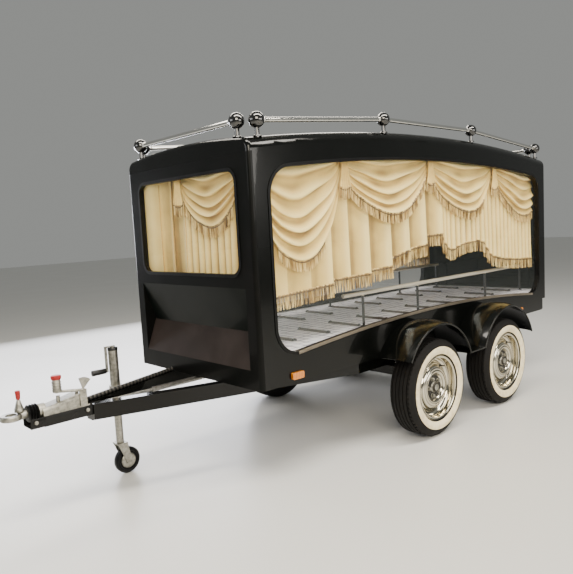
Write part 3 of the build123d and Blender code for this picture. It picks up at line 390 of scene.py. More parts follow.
FINISHES = {
    "body_black": coach_black(), "chassis_black": chassis_enamel(), "chrome": chrome_plate(),
    "zinc": zinc_plate(), "steel_grey": bare_steel(), "deck_sheet": deck_plate(), "tyre": tyre_rubber(),
    "rubber": seal_rubber(), "glass": window_pane(), "curtain": curtain_satin(), "gloss_black": ball_black(),
    "amber_lens": lens("amber_lens", "#E08A12", "#B5610A"), "red_lens": lens("red_lens", "#8E0C0A", "#4A0404"),
}
WHITE = white_rubber()
FRINGE = fringe_viscose()
CORD = cord_viscose()
MOULDED = moulded_black()
RED = red_cap()
NODE_LOOKS = {"bier_rails": bier_rail_finish(), "deck_rollers": roller_steel(), "cable_conduit": ribbed_conduit(),
              "jockey_tube": FINISHES["zinc"], "front_panel": nose_black()}
TRIM = sill_trim()
WHEEL_LOOKS = {end: wheel_chrome(end) for end in AXLE_X}


def dress_frame():
    """Puts each kept solid's finish on it, by the record's material slot."""
    slots = {entry["node"]: entry["material_slot"] for entry in frame["record"]["subparts"]}
    for name, solid in frame["nodes"].items():
        look = NODE_LOOKS.get(name, FINISHES[slots[name]])
        if name.startswith("wheel_"):
            look = WHEEL_LOOKS[name.split("_")[1]]
        for slot in solid.material_slots:
            slot.material = look


# Modelling tools

def placed(name, data):
    """New object in the scene from its data."""
    made = bpy.data.objects.new(name, data)
    bpy.context.scene.collection.objects.link(made)
    return made


def started(name, primitive, **sizes):
    """A primitive at its size and place, open in edit mode with all of it selected."""
    bpy.ops.object.select_all(action="DESELECT")
    getattr(bpy.ops.mesh, f"primitive_{primitive}_add")(**sizes)
    made = bpy.context.object
    made.name = made.data.name = name
    bpy.ops.object.transform_apply(location=True, rotation=True, scale=True)
    bpy.ops.object.mode_set(mode="EDIT")
    return made


def pick(made, test):
    """Selects the faces in edit mode whose middle and normal pass the test."""
    bpy.ops.mesh.select_all(action="DESELECT")
    bpy.ops.object.mode_set(mode="OBJECT")
    bpy.context.tool_settings.mesh_select_mode = (False, False, True)
    for face in made.data.polygons:
        face.select = test(face.center, face.normal)
    bpy.ops.object.mode_set(mode="EDIT")
    bpy.ops.mesh.select_mode(type="FACE")


def done(made, body, looks, slot, smooth, replaces=()):
    """Puts the place into the mesh, smooths it, gives the piece its finish and body, and hides the solids that it
    replaces.
    """
    bpy.ops.object.select_all(action="DESELECT")
    made.select_set(True)
    bpy.context.view_layer.objects.active = made
    bpy.ops.object.transform_apply(location=True, rotation=True, scale=True)
    bpy.ops.object.shade_smooth_by_angle(angle=radians(smooth))
    looks = looks if isinstance(looks, (list, tuple)) else [looks]
    while len(made.data.materials) < len(looks):
        made.data.materials.append(None)
    for i, look in enumerate(looks):
        made.data.materials[i] = look
    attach(made, body)
    for node in replaces:
        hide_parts(node)
    return made


def copied(made, name, move=(0, 0, 0), mirror=False):
    """A copy with its own mesh, moved, or mirrored to the trailer's other side."""
    twin = placed(name, made.data.copy())
    twin.data.name = name
    if mirror:
        twin.data.transform(Matrix.Scale(-1, 4, (0, 1, 0)))
        twin.data.flip_normals()
    twin.data.transform(Matrix.Translation(move))
    return twin


def spun(name, profile, steps, centre, axis, angle=2 * pi):
    """A closed or open profile drawn out point by point and spun about a line."""
    first = Vector(profile[0])
    made = started(name, "plane", size=0.001, location=first)
    bpy.ops.mesh.merge(type="CENTER")
    bpy.ops.mesh.select_mode(type="VERT")
    bpy.ops.mesh.select_all(action="SELECT")
    at = first
    for point in profile[1:]:
        step = Vector(point) - at
        bpy.ops.mesh.extrude_region_move(TRANSFORM_OT_translate={"value": step})
        at = Vector(point)
    bpy.ops.mesh.select_all(action="SELECT")
    bpy.ops.mesh.spin(steps=steps, angle=angle, center=centre, axis=axis)
    bpy.ops.mesh.select_all(action="SELECT")
    bpy.ops.mesh.remove_doubles(threshold=0.0002)
    bpy.ops.mesh.normals_make_consistent(inside=False)
    return made


def round_piece(name, a, b, r0, r1=None, sides=28, soft=0.0):
    """Round piece, straight or tapered, from one point to another, its rims softened."""
    a, b = Vector(a), Vector(b)
    turn = (b - a).to_track_quat("Z", "Y").to_euler()
    made = started(name, "cone", vertices=sides, radius1=r0, radius2=r0 if r1 is None else r1,
                   depth=(b - a).length, location=(a + b) / 2, rotation=turn)
    return softened(made, soft) if soft else closed(made)


def closed(made):
    """Leaves edit mode."""
    bpy.ops.object.mode_set(mode="OBJECT")
    return made


def softened(made, width):
    """Rounds every sharp edge of a piece."""
    if made.mode == "EDIT":
        closed(made)
    cut = made.modifiers.new("soft", "BEVEL")
    cut.width, cut.segments, cut.limit_method, cut.angle_limit = width, 2, "ANGLE", radians(40)
    bpy.context.view_layer.objects.active = made
    bpy.ops.object.modifier_apply(modifier="soft")
    return made


# Tyres

PITCHES = 64
CROWN_FALL, SHOULDER, SHOULDER_R, SIPE_DEPTH = 0.9, (0.0555, 0.072), 0.300, 0.005
GROOVE_TOP, GROOVE_FOOT, GROOVE_DEPTH = 0.0035, 0.0025, 0.007
GROOVES_Y = (-0.052, -0.026, 0.0, 0.026, 0.052)
WHITE_IN, WHITE_OUT = 0.213, 0.262


def tyre_section():
    """Half-plane section of the outer skin as (radius, y) points, from one bead to the other."""
    wall = [(0.1965, 0.070), (0.2080, 0.0745), (0.2125, 0.0815), (WHITE_IN, 0.0825), (WHITE_IN + 0.001, 0.0845),
            (0.2300, 0.0925), (0.2450, 0.0945), (WHITE_OUT - 0.001, 0.0925), (WHITE_OUT, 0.0905),
            (0.2780, 0.0860), (0.2880, 0.0810), (0.2965, 0.0735), (0.3035, 0.0690), (0.3065, 0.0660)]
    tread = []
    for y in GROOVES_Y:
        crown = TYRE_R - CROWN_FALL * y * y
        groove = crown - GROOVE_DEPTH
        tread += [(crown, y - GROOVE_TOP), (groove, y - GROOVE_FOOT), (groove, y + GROOVE_FOOT),
                  (crown, y + GROOVE_TOP)]
    tread.reverse()
    other = [(r, -y) for r, y in reversed(wall)]
    return wall + tread + other


def shape_tyre():
    """Front left tyre: skin spun round the axle, shoulder blocks cut across by sipes."""
    x, y = AXLE_X["front"], WHEEL_Y
    section = [(x + r, y + s, TYRE_R) for r, s in tyre_section()]
    made = spun("tyre_dress_front_left", section, PITCHES * 3, (x, y, TYRE_R), (0, 1, 0))

    def sipe(c, n):
        r = hypot(c.x - x, c.z - TYRE_R)
        side = abs(c.y - y)
        turn = atan2(c.z - TYRE_R, c.x - x) / (2 * pi) * PITCHES * 3
        shift = 1 if c.y > y else 2
        return SHOULDER[0] < side < SHOULDER[1] and r > SHOULDER_R and int(round(turn - 0.5 + shift)) % 3 == 0
    pick(made, sipe)
    bpy.ops.mesh.extrude_region_shrink_fatten(TRANSFORM_OT_shrink_fatten={"value": -SIPE_DEPTH})
    made.data.materials.append(FINISHES["tyre"])
    made.data.materials.append(WHITE)
    bpy.ops.object.mode_set(mode="OBJECT")
    for face in made.data.polygons:
        c = face.center
        r = hypot(c.x - x, c.z - TYRE_R)
        face.material_index = 1 if WHITE_IN < r < WHITE_OUT and c.y > y + 0.06 else 0
    return made


def on_all_wheels(first):
    """The front left wheel's piece and its copies on the other wheels, each with its end and side."""
    pieces = [(first, "front", "left")]
    for end in AXLE_X:
        for side in SIDES:
            if (end, side) != ("front", "left"):
                name = first.name.replace("front_left", f"{end}_{side}")
                move = (AXLE_X[end] - AXLE_X["front"], 0, 0)
                pieces.append((copied(first, name, move, mirror=side == "right"), end, side))
    return pieces


def fit_tyres():
    """Tyres on all four wheels, the white wall outwards on each."""
    for made, end, side in on_all_wheels(shape_tyre()):
        done(made, f"wheel_{end}_{side}", [FINISHES["tyre"], WHITE], "tyre", 30, [f"tyre_{end}_{side}"])


# Curtains

HEAD_Z, END_HEAD_Z, END_HEM_Z = 1.798, 1.716, 1.126
SIDE_BACK_Y, NOSE_BACK_X, DOOR_BACK_X = 0.508, 1.048, -2.078
SIDE_SPAN, END_SPAN, DOOR_SPAN = (1.018, -2.058), (-0.482, 0.482), (-0.437, 0.437)
LAP = 0.014
PLEAT_DEPTH, FOLD_DEPTH = 0.026, 0.024

# Side window, front to rear: edges of the pressed pleats with the height of each one's hem at both its sides
FLAT_EDGES = (1.018, 0.845, 0.662, 0.491, 0.339, 0.153, -0.067, -0.260, -0.462, -0.655)
FLAT_HEMS = ((0.994, 1.004), (1.004, 1.014), (1.014, 1.026), (1.047, 1.051), (1.051, 1.056), (1.070, 1.082),
             (1.122, 1.173), (1.173, 1.199), (1.260, 1.262))
FLAT_DEPTHS = (0.25, 0.35, 0.8, 0.7, 0.9, 0.9, 1.0, 0.9, 1.0)
ROUND_EDGES = (-0.655, -0.702, -0.749, -0.800, -0.862, -0.935, -1.012, -1.085, -1.150, -1.217, -1.280, -1.342,
               -1.400, -1.465, -1.531, -1.592, -1.653, -1.712, -1.770, -1.828, -1.895, -1.962, -2.028, -2.058)
ROUND_HEM = ((-0.655, 1.262), (-0.702, 1.205), (-0.787, 1.145), (-0.861, 1.160), (-1.014, 1.184), (-1.227, 1.179),
             (-1.310, 1.110), (-1.392, 1.055), (-1.724, 1.008), (-2.060, 0.990))

# Lower edges of the side window's four swags, from gather to gather
SWAG_EDGES = (
    ((1.095, 1.690), (1.018, 1.430), (0.935, 1.300), (0.874, 1.238), (0.754, 1.192), (0.654, 1.206),
     (0.560, 1.279), (0.475, 1.400), (0.418, 1.545), (0.375, 1.690)),
    ((0.370, 1.690), (0.303, 1.588), (0.207, 1.523), (0.070, 1.466), (-0.075, 1.435), (-0.233, 1.461),
     (-0.359, 1.543), (-0.462, 1.650), (-0.505, 1.705)),
    ((-0.520, 1.700), (-0.579, 1.617), (-0.688, 1.529), (-0.851, 1.463), (-1.025, 1.431), (-1.185, 1.472),
     (-1.300, 1.596), (-1.375, 1.695)),
    ((-1.392, 1.690), (-1.471, 1.597), (-1.646, 1.466), (-1.865, 1.380), (-2.068, 1.414), (-2.200, 1.560)),
)
SIDE_GATHERS = (0.373, -0.512, -1.384)

# Front window, from the far side to the near one
NOSE_FLAT_EDGES = (-0.482, -0.345, -0.235, -0.100)
NOSE_ROUND_EDGES = (-0.100, -0.045, 0.012, 0.072, 0.135, 0.200, 0.262, 0.322, 0.380, 0.432, 0.482)
NOSE_SWAG = ((-0.105, 1.640), (-0.060, 1.545), (0.020, 1.470), (0.115, 1.425), (0.210, 1.408), (0.300, 1.440),
             (0.385, 1.515), (0.440, 1.590), (0.495, 1.660))

# Rear door: its left swag, mirrored to the right, and the folds of its drape
DOOR_SWAG = ((-0.445, 1.650), (-0.400, 1.550), (-0.310, 1.455), (-0.215, 1.425), (-0.120, 1.455), (-0.040, 1.560),
             (0.000, 1.660))
DOOR_SWAGS = (DOOR_SWAG, tuple((-s, z) for s, z in reversed(DOOR_SWAG)))
DOOR_FOLDS = 15

# Metres of cloth from heading to hem in the UV maps, and the lengths and spacing of the fringes
CLOTH_DROP = 0.8
HEM_FRINGE, SWAG_FRINGE, FRINGE_PITCH = 0.086, 0.068, 0.0105
UP = Vector((0, 0, 1))


def side_head(x):
    """Height of a side curtain's heading, under the roof's arch."""
    return HEAD_Z - ARCH_R + sqrt(ARCH_R ** 2 - (x - MID_X) ** 2)


def end_head(y):
    """Height of an end curtain's heading, level all along."""
    return END_HEAD_Z


def side_wall(s, d, z):
    """Place on the left window: along it, forward from the back of the curtain's room, and up."""
    return (s, SIDE_BACK_Y + d, z)


def nose_wall(s, d, z):
    """Place on the front window, whose curtain comes forward to the glass at its far side."""
    far = min(max((-0.22 - s) / 0.20, 0.0), 1.0)
    return (NOSE_BACK_X + d + (0.052 - d) * far * far * (3 - 2 * far) * 0.9, s, z)


def door_wall(s, d, z):
    """Place on the rear door's window, whose curtain comes forward to the rear."""
    return (DOOR_BACK_X - d, s, z)


def smooth_line(points, s):
    """Height at s on the smooth line through points, which are in order along it."""
    i = 0
    while i < len(points) - 2 and abs(s - points[0][0]) > abs(points[i + 1][0] - points[0][0]):
        i += 1
    (s0, z0), (s1, z1) = points[i:i + 2]
    (before, low), (after, high) = points[max(i - 1, 0)], points[min(i + 2, len(points) - 1)]
    run = s1 - s0
    t = min(max((s - s0) / run, 0.0), 1.0)
    start, end = (z1 - low) / (s1 - before) * run, (high - z0) / (after - s0) * run
    return z0 + (z1 - z0) * t * t * (3 - 2 * t) + t * (t - 1) * ((t - 1) * start + t * end)


def pressed_pleats(edges, hems, depths):
    """Columns (along, depth, hem) of pleats that each come forward to an edge and lap over the next."""
    columns = []
    for s0, s1, (z0, z1), deep in zip(edges, edges[1:], hems, depths):
        lap = LAP if s1 > s0 else -LAP
        for f in (0.0, 0.08, 0.18, 0.30, 0.44, 0.58, 0.72, 0.84, 0.93, 1.0):
            bulge = 0.35 * f + 0.65 * f ** 4 + 0.12 * sin(5 * pi * f) * (1 - f)
            columns.append((s0 + (s1 + lap - s0) * f, PLEAT_DEPTH * deep * bulge, z0 + (z1 - z0) * f))
        columns.append((s1 + lap * 0.85, PLEAT_DEPTH * deep * 0.6, z1))
        columns.append((s1 + lap * 0.15, PLEAT_DEPTH * deep * 0.12, z1))
    return columns


def soft_folds(edges, hem):
    """Columns of round folds that meet in narrow valleys."""
    columns = []
    for s0, s1 in zip(edges, edges[1:]):
        for f in (0.0, 0.10, 0.22, 0.36, 0.50, 0.64, 0.78, 0.90):
            s = s0 + (s1 - s0) * (f - 0.05 * sin(2 * pi * f))
            columns.append((s, FOLD_DEPTH * (0.5 - 0.5 * cos(2 * pi * f)) ** 0.7, smooth_line(hem, s)))
    columns.append((edges[-1], 0.0, smooth_line(hem, edges[-1])))
    return columns


def hung(head, wall):
    """Places on a drape, from its heading down to its hem."""
    def place(column, v):
        s, d, low = column
        top = head(s)
        return wall(s + 0.005 * v * sin(31 * s), 0.001 + d * (0.5 + 0.5 * v), top + (low - top) * v)
    return place


def swagged(edge, head, wall, folds, seed, span):
    """Places on a swag: rolls that hang between two gathers, each lapping over the next one below."""
    dice = random.Random(seed)
    shift, ripple = dice.uniform(-1, 1), dice.uniform(-1, 1)
    s0, s1 = edge[0][0], edge[-1][0]
    first, last = ((min(max(s, min(span)), max(span)) - s0) / (s1 - s0) for s in (s0, s1))

    def place(u, v):
        w = first + (last - first) * (0.5 - 0.5 * cos(pi * u))
        s = s0 + (s1 - s0) * w
        swell = sin(pi * min(max(w, 0.0), 1.0)) ** 0.6
        drift = 0.20 * swell * sin(pi * v) * sin(3 * pi * w + 2 * ripple)
        phase = (folds - 0.35) * (v + 0.03 * sin(2 * pi * v + 2 * shift)) + drift
        roll = (0.5 - 0.5 * cos(2 * pi * (phase % 1.0) ** 1.7)) ** 1.2
        strength = 0.75 + 0.25 * sin(2.4 * phase + 5 * shift + 2 * w)
        crease = 0.0016 * sin(2 * pi * 3 * phase) * (1 - swell) + 0.0012 * sin(19 * w + 9 * v)
        top = head(s)
        z = top - (top - smooth_line(edge, s)) * v ** 0.95 - 0.018 * swell * roll * min(1.0, 4 * v)
        return wall(s, 0.021 + (0.006 + 0.024 * swell) * roll * strength + crease, z)
    return place


def fanned(middle, head, wall):
    """Places on the small fan of pleats that hangs from a gather."""
    def place(u, v):
        wide = 0.034 + 0.020 * (1 - v) ** 2 + 0.070 * v ** 1.6
        z = head(middle) - 0.175 * v - 0.018 * sin(pi * u) * v
        return wall(middle + (u - 0.5) * wide, 0.045 + 0.006 * cos(10 * pi * u), z)
    return place


def fold_heights(points, wide, out):
    """How far each place stands out from the cloth around it, from 0 in a valley to 1 on a ridge: the measure of
    the satin's painted shade and highlight.
    """
    depth = [Vector(point).dot(out) for point in points]
    tall = len(points) // wide
    sums = [[0.0] * (wide + 1) for _ in range(tall + 1)]
    for i in range(tall):
        for j in range(wide):
            sums[i + 1][j + 1] = depth[i * wide + j] + sums[i][j + 1] + sums[i + 1][j] - sums[i][j]
    heights = []
    for i in range(tall):
        i0, i1 = max(0, i - 5), min(tall, i + 6)
        for j in range(wide):
            j0, j1 = max(0, j - 8), min(wide, j + 9)
            total = sums[i1][j1] - sums[i0][j1] - sums[i1][j0] + sums[i0][j0]
            stands = depth[i * wide + j] - total / ((i1 - i0) * (j1 - j0))
            heights.append(min(max(0.5 + stands / 0.030, 0.0), 1.0))
    return heights


def cloth(name, across, down, place, out):
    """Sheet of cloth from a grid of places: UV map in metres, and an attribute with its folds' relief, which the
    satin paints as shade in the valleys and highlight on the ridges.
    """
    points = [place(a, v) for v in down for a in across]
    wide = len(across)
    faces = [(i * wide + j, i * wide + j + 1, (i + 1) * wide + j + 1, (i + 1) * wide + j)
             for i in range(len(down) - 1) for j in range(wide - 1)]
    mesh = bpy.data.meshes.new(name)
    mesh.from_pydata(points, [], faces)
    runs = [0.0]
    for a, b in zip(points, points[1:wide]):
        runs.append(runs[-1] + (Vector(b) - Vector(a)).length)
    layer = mesh.uv_layers.new(name="cut")
    for loop in mesh.loops:
        i, j = divmod(loop.vertex_index, wide)
        layer.data[loop.index].uv = (runs[j], -down[i] * CLOTH_DROP)
    # fold relief for the satin's painted shade and painted highlight
    painted_fold_shade = mesh.attributes.new("fold", "FLOAT", "POINT")
    painted_fold_shade.data.foreach_set("value", fold_heights(points, wide, out))
    mesh.materials.append(FINISHES["curtain"])
    return placed(name, mesh)


def steps(count):
    """Even shares from 0 to 1."""
    return [i / count for i in range(count + 1)]


def lower_edges(across, place):
    """Lines of places along a cloth's lower edge, broken where its hem steps up or down."""
    lines, last = [[]], None
    for a in across:
        at = Vector(place(a, 1.0))
        if last is not None and abs(at.z - last.z) > 0.012 and (at - last).length < 1.3 * abs(at.z - last.z):
            lines.append([])
        lines[-1].append(at)
        last = at
    return [line for line in lines if len(line) > 1]


def ring(points, centre, flat, out, r, turn=0.0):
    """Four corners of a cord's section."""
    for q in range(4):
        a = pi / 2 * q + turn
        points.append(centre + (flat * cos(a) + out * sin(a)) * r)


def joined_rings(faces, looks, start, count, look=0):
    """Walls between sections that follow each other, and which material each one takes."""
    for level in range(count - 1):
        for q in range(4):
            a, b = start + level * 4 + q, start + level * 4 + (q + 1) % 4
            faces.append((a, b, b + 4, a + 4))
            looks.append(look)


def sideways(along, least):
    """Level direction across a line, or the trailer's side where the line is nearly upright."""
    out = along.cross(UP)
    return out.normalized() if out.length > least else Vector((0, 1, 0))


def heading(points, faces, looks, line):
    """Double corded heading along a line, the lower cord dark."""
    for drop, r, look in ((0.0, 0.0042, 0), (-0.0098, 0.0038, 1)):
        start = len(points)
        for i, at in enumerate(line):
            along = (line[min(i + 1, len(line) - 1)] - line[max(i - 1, 0)]).normalized()
            out = sideways(along, 0.05)
            ring(points, at + UP * drop + out * 0.001, along.cross(out), out, r)
        joined_rings(faces, looks, start, len(line), look)


def strands(points, faces, looks, line, length, dice, number):
    """Twisted cords that hang from a line side by side; gives back how many there are by then."""
    rest = FRINGE_PITCH / 2
    for a, b in zip(line, line[1:]):
        span = (b - a).length
        out = sideways((b - a).normalized(), 0.2)
        flat = UP.cross(out)
        while rest < span:
            top = a.lerp(b, rest / span)
            lean = 0.030 if number % 2 else -0.030
            swing = flat * (lean + dice.uniform(-0.03, 0.03)) + out * dice.uniform(-0.05, 0.05)
            tall = length * dice.uniform(0.93, 1.0)
            start = len(points)
            for part, r in ((0.0, 0.0022), (0.3, 0.0032), (0.92, 0.0034), (1.0, 0.0016)):
                ring(points, top + (swing * part - UP) * (tall * part), flat, out, r, 1.6 * part)
            joined_rings(faces, looks, start, 4)
            faces.append(tuple(start + 12 + q for q in range(4)))
            looks.append(0)
            number += 1
            rest += FRINGE_PITCH
        rest -= span
    return number


def fringe(name, lines, length):
    """Bullion fringe along the lines: hanging cords under a heading."""
    points, faces, looks, number = [], [], [], 0
    dice = random.Random(len(lines) + len(lines[0]))
    for line in lines:
        heading(points, faces, looks, line)
        number = strands(points, faces, looks, line, length, dice, number)
    mesh = bpy.data.meshes.new(name)
    mesh.from_pydata(points, [], faces)
    mesh.materials.append(FRINGE)
    mesh.materials.append(CORD)
    mesh.polygons.foreach_set("material_index", looks)
    layer = mesh.uv_layers.new(name="cut")
    for loop in mesh.loops:
        at = mesh.vertices[loop.vertex_index].co
        layer.data[loop.index].uv = (at.x + at.y, at.z)
    return placed(name, mesh)


def stitched(pieces, name):
    """Joins pieces of one cloth into one object."""
    bpy.ops.object.select_all(action="DESELECT")
    for made in pieces:
        made.select_set(True)
    bpy.context.view_layer.objects.active = pieces[0]
    bpy.ops.object.join()
    pieces[0].name = pieces[0].data.name = name
    return pieces[0]


def dressed_window(tag, wall, head, columns, hem_fringe, swags, fans, span):
    """One window's drape, swags with their gathers, and the fringes of both."""
    place, out = hung(head, wall), Vector(wall(0, 1, 0)) - Vector(wall(0, 0, 0))
    pieces = {"drape": cloth(f"{tag}_drape", columns, steps(26), place, out)}
    if hem_fringe:
        pieces["drape_fringe"] = fringe(f"{tag}_drape_fringe", lower_edges(columns, place), HEM_FRINGE)
    parts, lines = [], []
    for i, (edge, folds) in enumerate(swags):
        place = swagged(edge, head, wall, folds, 20 + 7 * i, span)
        parts.append(cloth(f"{tag}_swag_{i}", steps(60), steps(folds * 14), place, out))
        lines += lower_edges(steps(60), place)
    for i, middle in enumerate(fans):
        place = fanned(middle, head, wall)
        parts.append(cloth(f"{tag}_fan_{i}", steps(40), steps(10), place, out))
        lines += lower_edges(steps(10), place)
    pieces["swags"] = stitched(parts, f"{tag}_swags")
    pieces["swag_fringe"] = fringe(f"{tag}_swag_fringe", lines, SWAG_FRINGE)
    return pieces


def hang_up(pieces, body, node, drape_cut, swag_cut):
    """Gives a window's cloths their finish and body, and hides the solid that they replace."""
    for key, made in pieces.items():
        looks = [FRINGE, CORD] if "fringe" in key else FINISHES["curtain"]
        done(made, body, looks, "curtain", 60, [node])
    for key, trim, cut in (("drape", "drape_fringe", drape_cut), ("swags", "swag_fringe", swag_cut)):
        fringes = [pieces[trim]] if trim in pieces else []


def hang_curtains():
    """Side windows, mirrored, then the front window and the rear door."""
    side = pressed_pleats(FLAT_EDGES, FLAT_HEMS, FLAT_DEPTHS) + soft_folds(ROUND_EDGES, ROUND_HEM)
    left = dressed_window("side_left", side_wall, side_head, side, True,
                          list(zip(SWAG_EDGES, (6, 5, 5, 5))), SIDE_GATHERS, SIDE_SPAN)
    right = {key: copied(made, made.name.replace("left", "right"), mirror=True) for key, made in left.items()}
    for pieces in (left, right):
        hang_up(pieces, "trailer", "curtains", (3.7, 0.74), (3.7, 0.45))
    level = ((-0.5, END_HEM_Z), (0.5, END_HEM_Z))
    nose = pressed_pleats(NOSE_FLAT_EDGES, ((END_HEM_Z, END_HEM_Z),) * 3, (1.0,) * 3)
    nose += soft_folds(NOSE_ROUND_EDGES, level)
    front = dressed_window("front", nose_wall, end_head, nose, False, [(NOSE_SWAG, 5)], (-0.100,), END_SPAN)
    hang_up(front, "trailer", "curtains", (1.20, 0.59), (0.62, 0.36))
    wide = DOOR_SPAN[1] - DOOR_SPAN[0]
    edges = [DOOR_SPAN[0] + wide * i / DOOR_FOLDS for i in range(DOOR_FOLDS + 1)]
    door = dressed_window("door", door_wall, end_head, soft_folds(edges, level), False,
                          [(edge, 4) for edge in DOOR_SWAGS], (0.0,), DOOR_SPAN)
    hang_up(door, "rear_door", "door_curtain", (1.20, 0.59), (0.92, 0.30))


# Fittings

GALLERY_PITCH = 3.1 / 3
GALLERY_FRONT_X, GALLERY_Y = 1.030, 0.560
END_GALLERY_XS, END_GALLERY_Y = (1.095, -2.135), 0.480
STUDS, STUD_RING = 5, 0.056
VALVE_RING, VALVE_TURN = 0.150, 2.2
ROLLERS, ROLLER_R, ROLLER_YS = 10, 0.016, ((0.130, -1), (0.380, 1))
HITCH_BOLT_Z = 0.513
LATCH = (2.125, 0.0)
BRAKE_GRIP = (1.962, 0.059)
JOCKEY_X, JOCKEY_Y = 1.510, -0.245
JOCKEY_AXLE = (1.476, 0.076)
SILL_CROWN, SILL_HALF = 0.772, 1.385
BALL_R = 0.042
HUB_Y = 0.035


def upright(name, x, y, low, high, *shape):
    """Round piece that stands up, from one height to another."""
    return round_piece(name, (x, y, low), (x, y, high), *shape)


def outward(name, x, z, inner, outer, *shape):
    """Round piece that points to the trailer's side, from one distance to another."""
    return round_piece(name, (x, inner, z), (x, outer, z), *shape)


def fitted(parts, name, slot, smooth=30, look=None, body="trailer"):
    """Joins the parts of one fitting and gives it its finish and body."""
    return done(stitched(parts, name), body, look or FINISHES[slot], slot, smooth)


def sill_strip():
    """Capping along the side window's sill, clipped over the glazing rubber, both sides."""
    low, high, y0, y1 = SILL_CROWN - 0.0155, SILL_CROWN + 0.0050, 0.6035, 0.6080
    half = SILL_HALF / ARCH_R
    centre = Vector((MID_X, 0.6, SILL_CROWN - ARCH_R))
    section = []
    for z, y in ((low, y0), (low + 0.003, y1), (high - 0.002, y1), (high, y0), (low, y0)):
        r = ARCH_R - SILL_CROWN + z
        section.append((centre.x + r * sin(half), y, centre.z + r * cos(half)))
    strip = spun("sill_strip_left", section, 64, tuple(centre), (0, 1, 0), 2 * half)
    closed(strip)
    for made in (strip, copied(strip, "sill_strip_right", mirror=True)):
        done(made, "trailer", TRIM, "steel_grey", 30)


def gallery_rows():
    """Ball centres of the roof gallery, from each ball's CAD solid."""
    posts = frame["nodes"]["roof_rail_posts"].data.vertices
    rows = [[(GALLERY_FRONT_X - i * GALLERY_PITCH, s * GALLERY_Y) for i in range(4)] for s in SIDES.values()]
    rows += [[(x, s * END_GALLERY_Y) for s in SIDES.values()] for x in END_GALLERY_XS]

    def ball(x, y):
        top = max(v.co.z for v in posts if abs(v.co.x - x) < BALL_R and abs(v.co.y - y) < BALL_R)
        return Vector((x, y, top - BALL_R))
    return [[ball(x, y) for x, y in row] for row in rows]


def gallery_fittings():
    """Ferrule where each tube meets a ball, and the flange under each ball's stem."""
    ferrules, flanges = [], []
    for row in gallery_rows():
        for a, b in zip(row, row[1:]):
            way = (b - a).normalized()
            for start, along in ((a, way), (b, -way)):
                ferrules.append(round_piece("ferrule", start + along * 0.0385, start + along * 0.056,
                                            0.0175, 0.0160, 24, 0.0015))
        for x, y, z in row:
            flanges.append(upright("flange", x, y, z - 0.0825, z - 0.0745, 0.026, 0.020, 24, 0.0015))
    fitted(ferrules, "gallery_ferrules", "chrome")
    fitted(flanges, "gallery_flanges", "gloss_black")


def wheel_fittings():
    """Nuts on their studs, ringed hub cap and valve of the front left wheel, copied to the others."""
    x, y = AXLE_X["front"], WHEEL_Y + HUB_Y
    bright = []
    for i in range(STUDS):
        a = 2 * pi / STUDS * i
        sx, sz = x + STUD_RING * cos(a), TYRE_R + STUD_RING * sin(a)
        bright += [outward("nut", sx, sz, y + 0.0065, y + 0.0225, 0.0118, 0.0112, 6, 0.0012),
                   outward("washer", sx, sz, y + 0.0058, y + 0.0085, 0.0145, 0.0135, 24, 0.0008),
                   outward("stud", sx, sz, y + 0.0220, y + 0.0265, 0.0060, 0.0052, 16, 0.0008)]
    cap = [(0.0, 0.0322), (0.010, 0.0318), (0.020, 0.0302), (0.0245, 0.0285), (0.0262, 0.026), (0.0262, 0.021),
           (0.0300, 0.019), (0.0325, 0.0145), (0.0340, 0.0135), (0.0352, 0.0115), (0.0352, 0.0058)]
    profile = [(x + r, y + s, TYRE_R) for r, s in cap]
    bright.append(closed(spun("hub_cap", profile, 48, (x, y, TYRE_R), (0, 1, 0))))
    vx, vz = x + VALVE_RING * cos(VALVE_TURN), TYRE_R + VALVE_RING * sin(VALVE_TURN)
    dark = [outward("valve_foot", vx, vz, y - 0.006, y + 0.008, 0.0085, 0.0060, 16, 0.001),
            outward("valve_stem", vx, vz, y, y + 0.034, 0.0042, 0.0038, 16, 0.0008)]
    for parts, name, slot in ((bright, "wheel_nuts", "zinc"), (dark, "wheel_valve", "rubber")):
        for made, end, side in on_all_wheels(stitched(parts, f"{name}_front_left")):
            done(made, f"wheel_{end}_{side}", FINISHES[slot], slot, 30)


def roller_caps():
    """Black stop at each end of every deck roller, left row modelled once and mirrored."""
    rollers = frame["nodes"]["deck_rollers"].data.vertices
    low = min(v.co.x for v in rollers) + ROLLER_R
    high = max(v.co.x for v in rollers) - ROLLER_R
    z = max(v.co.z for v in rollers) - ROLLER_R
    caps = []
    for i in range(ROLLERS):
        x = high - (high - low) * i / (ROLLERS - 1)
        for y, out in ROLLER_YS:
            caps.append(outward("cap", x, z, y - out * 0.0020, y + out * 0.0075, 0.0205, 0.0185, 20, 0.0020))
    left = stitched(caps, "roller_caps_left")
    for made in (left, copied(left, "roller_caps_right", mirror=True)):
        done(made, "trailer", MOULDED, "rubber", 30)


def hitch_channel():
    """Black channel under the coupling housing: a box without ends or top, given walls 4 mm thick."""
    box = started("hitch_channel", "cube", size=1.0, location=(1.9400, 0, 0.508), scale=(0.310, 0.101, 0.048))
    pick(box, lambda c, n: abs(n.x) > 0.9 or n.z > 0.9)
    bpy.ops.mesh.delete(type="FACE")
    bpy.ops.mesh.select_all(action="SELECT")
    bpy.ops.mesh.normals_make_consistent(inside=False)
    closed(box)
    wall = box.modifiers.new("wall", "SOLIDIFY")
    wall.thickness, wall.offset = 0.004, -1.0
    bpy.context.view_layer.objects.active = box
    bpy.ops.object.modifier_apply(modifier="wall")
    done(softened(box, 0.0012), "trailer", FINISHES["chassis_black"], "chassis_black", 30)


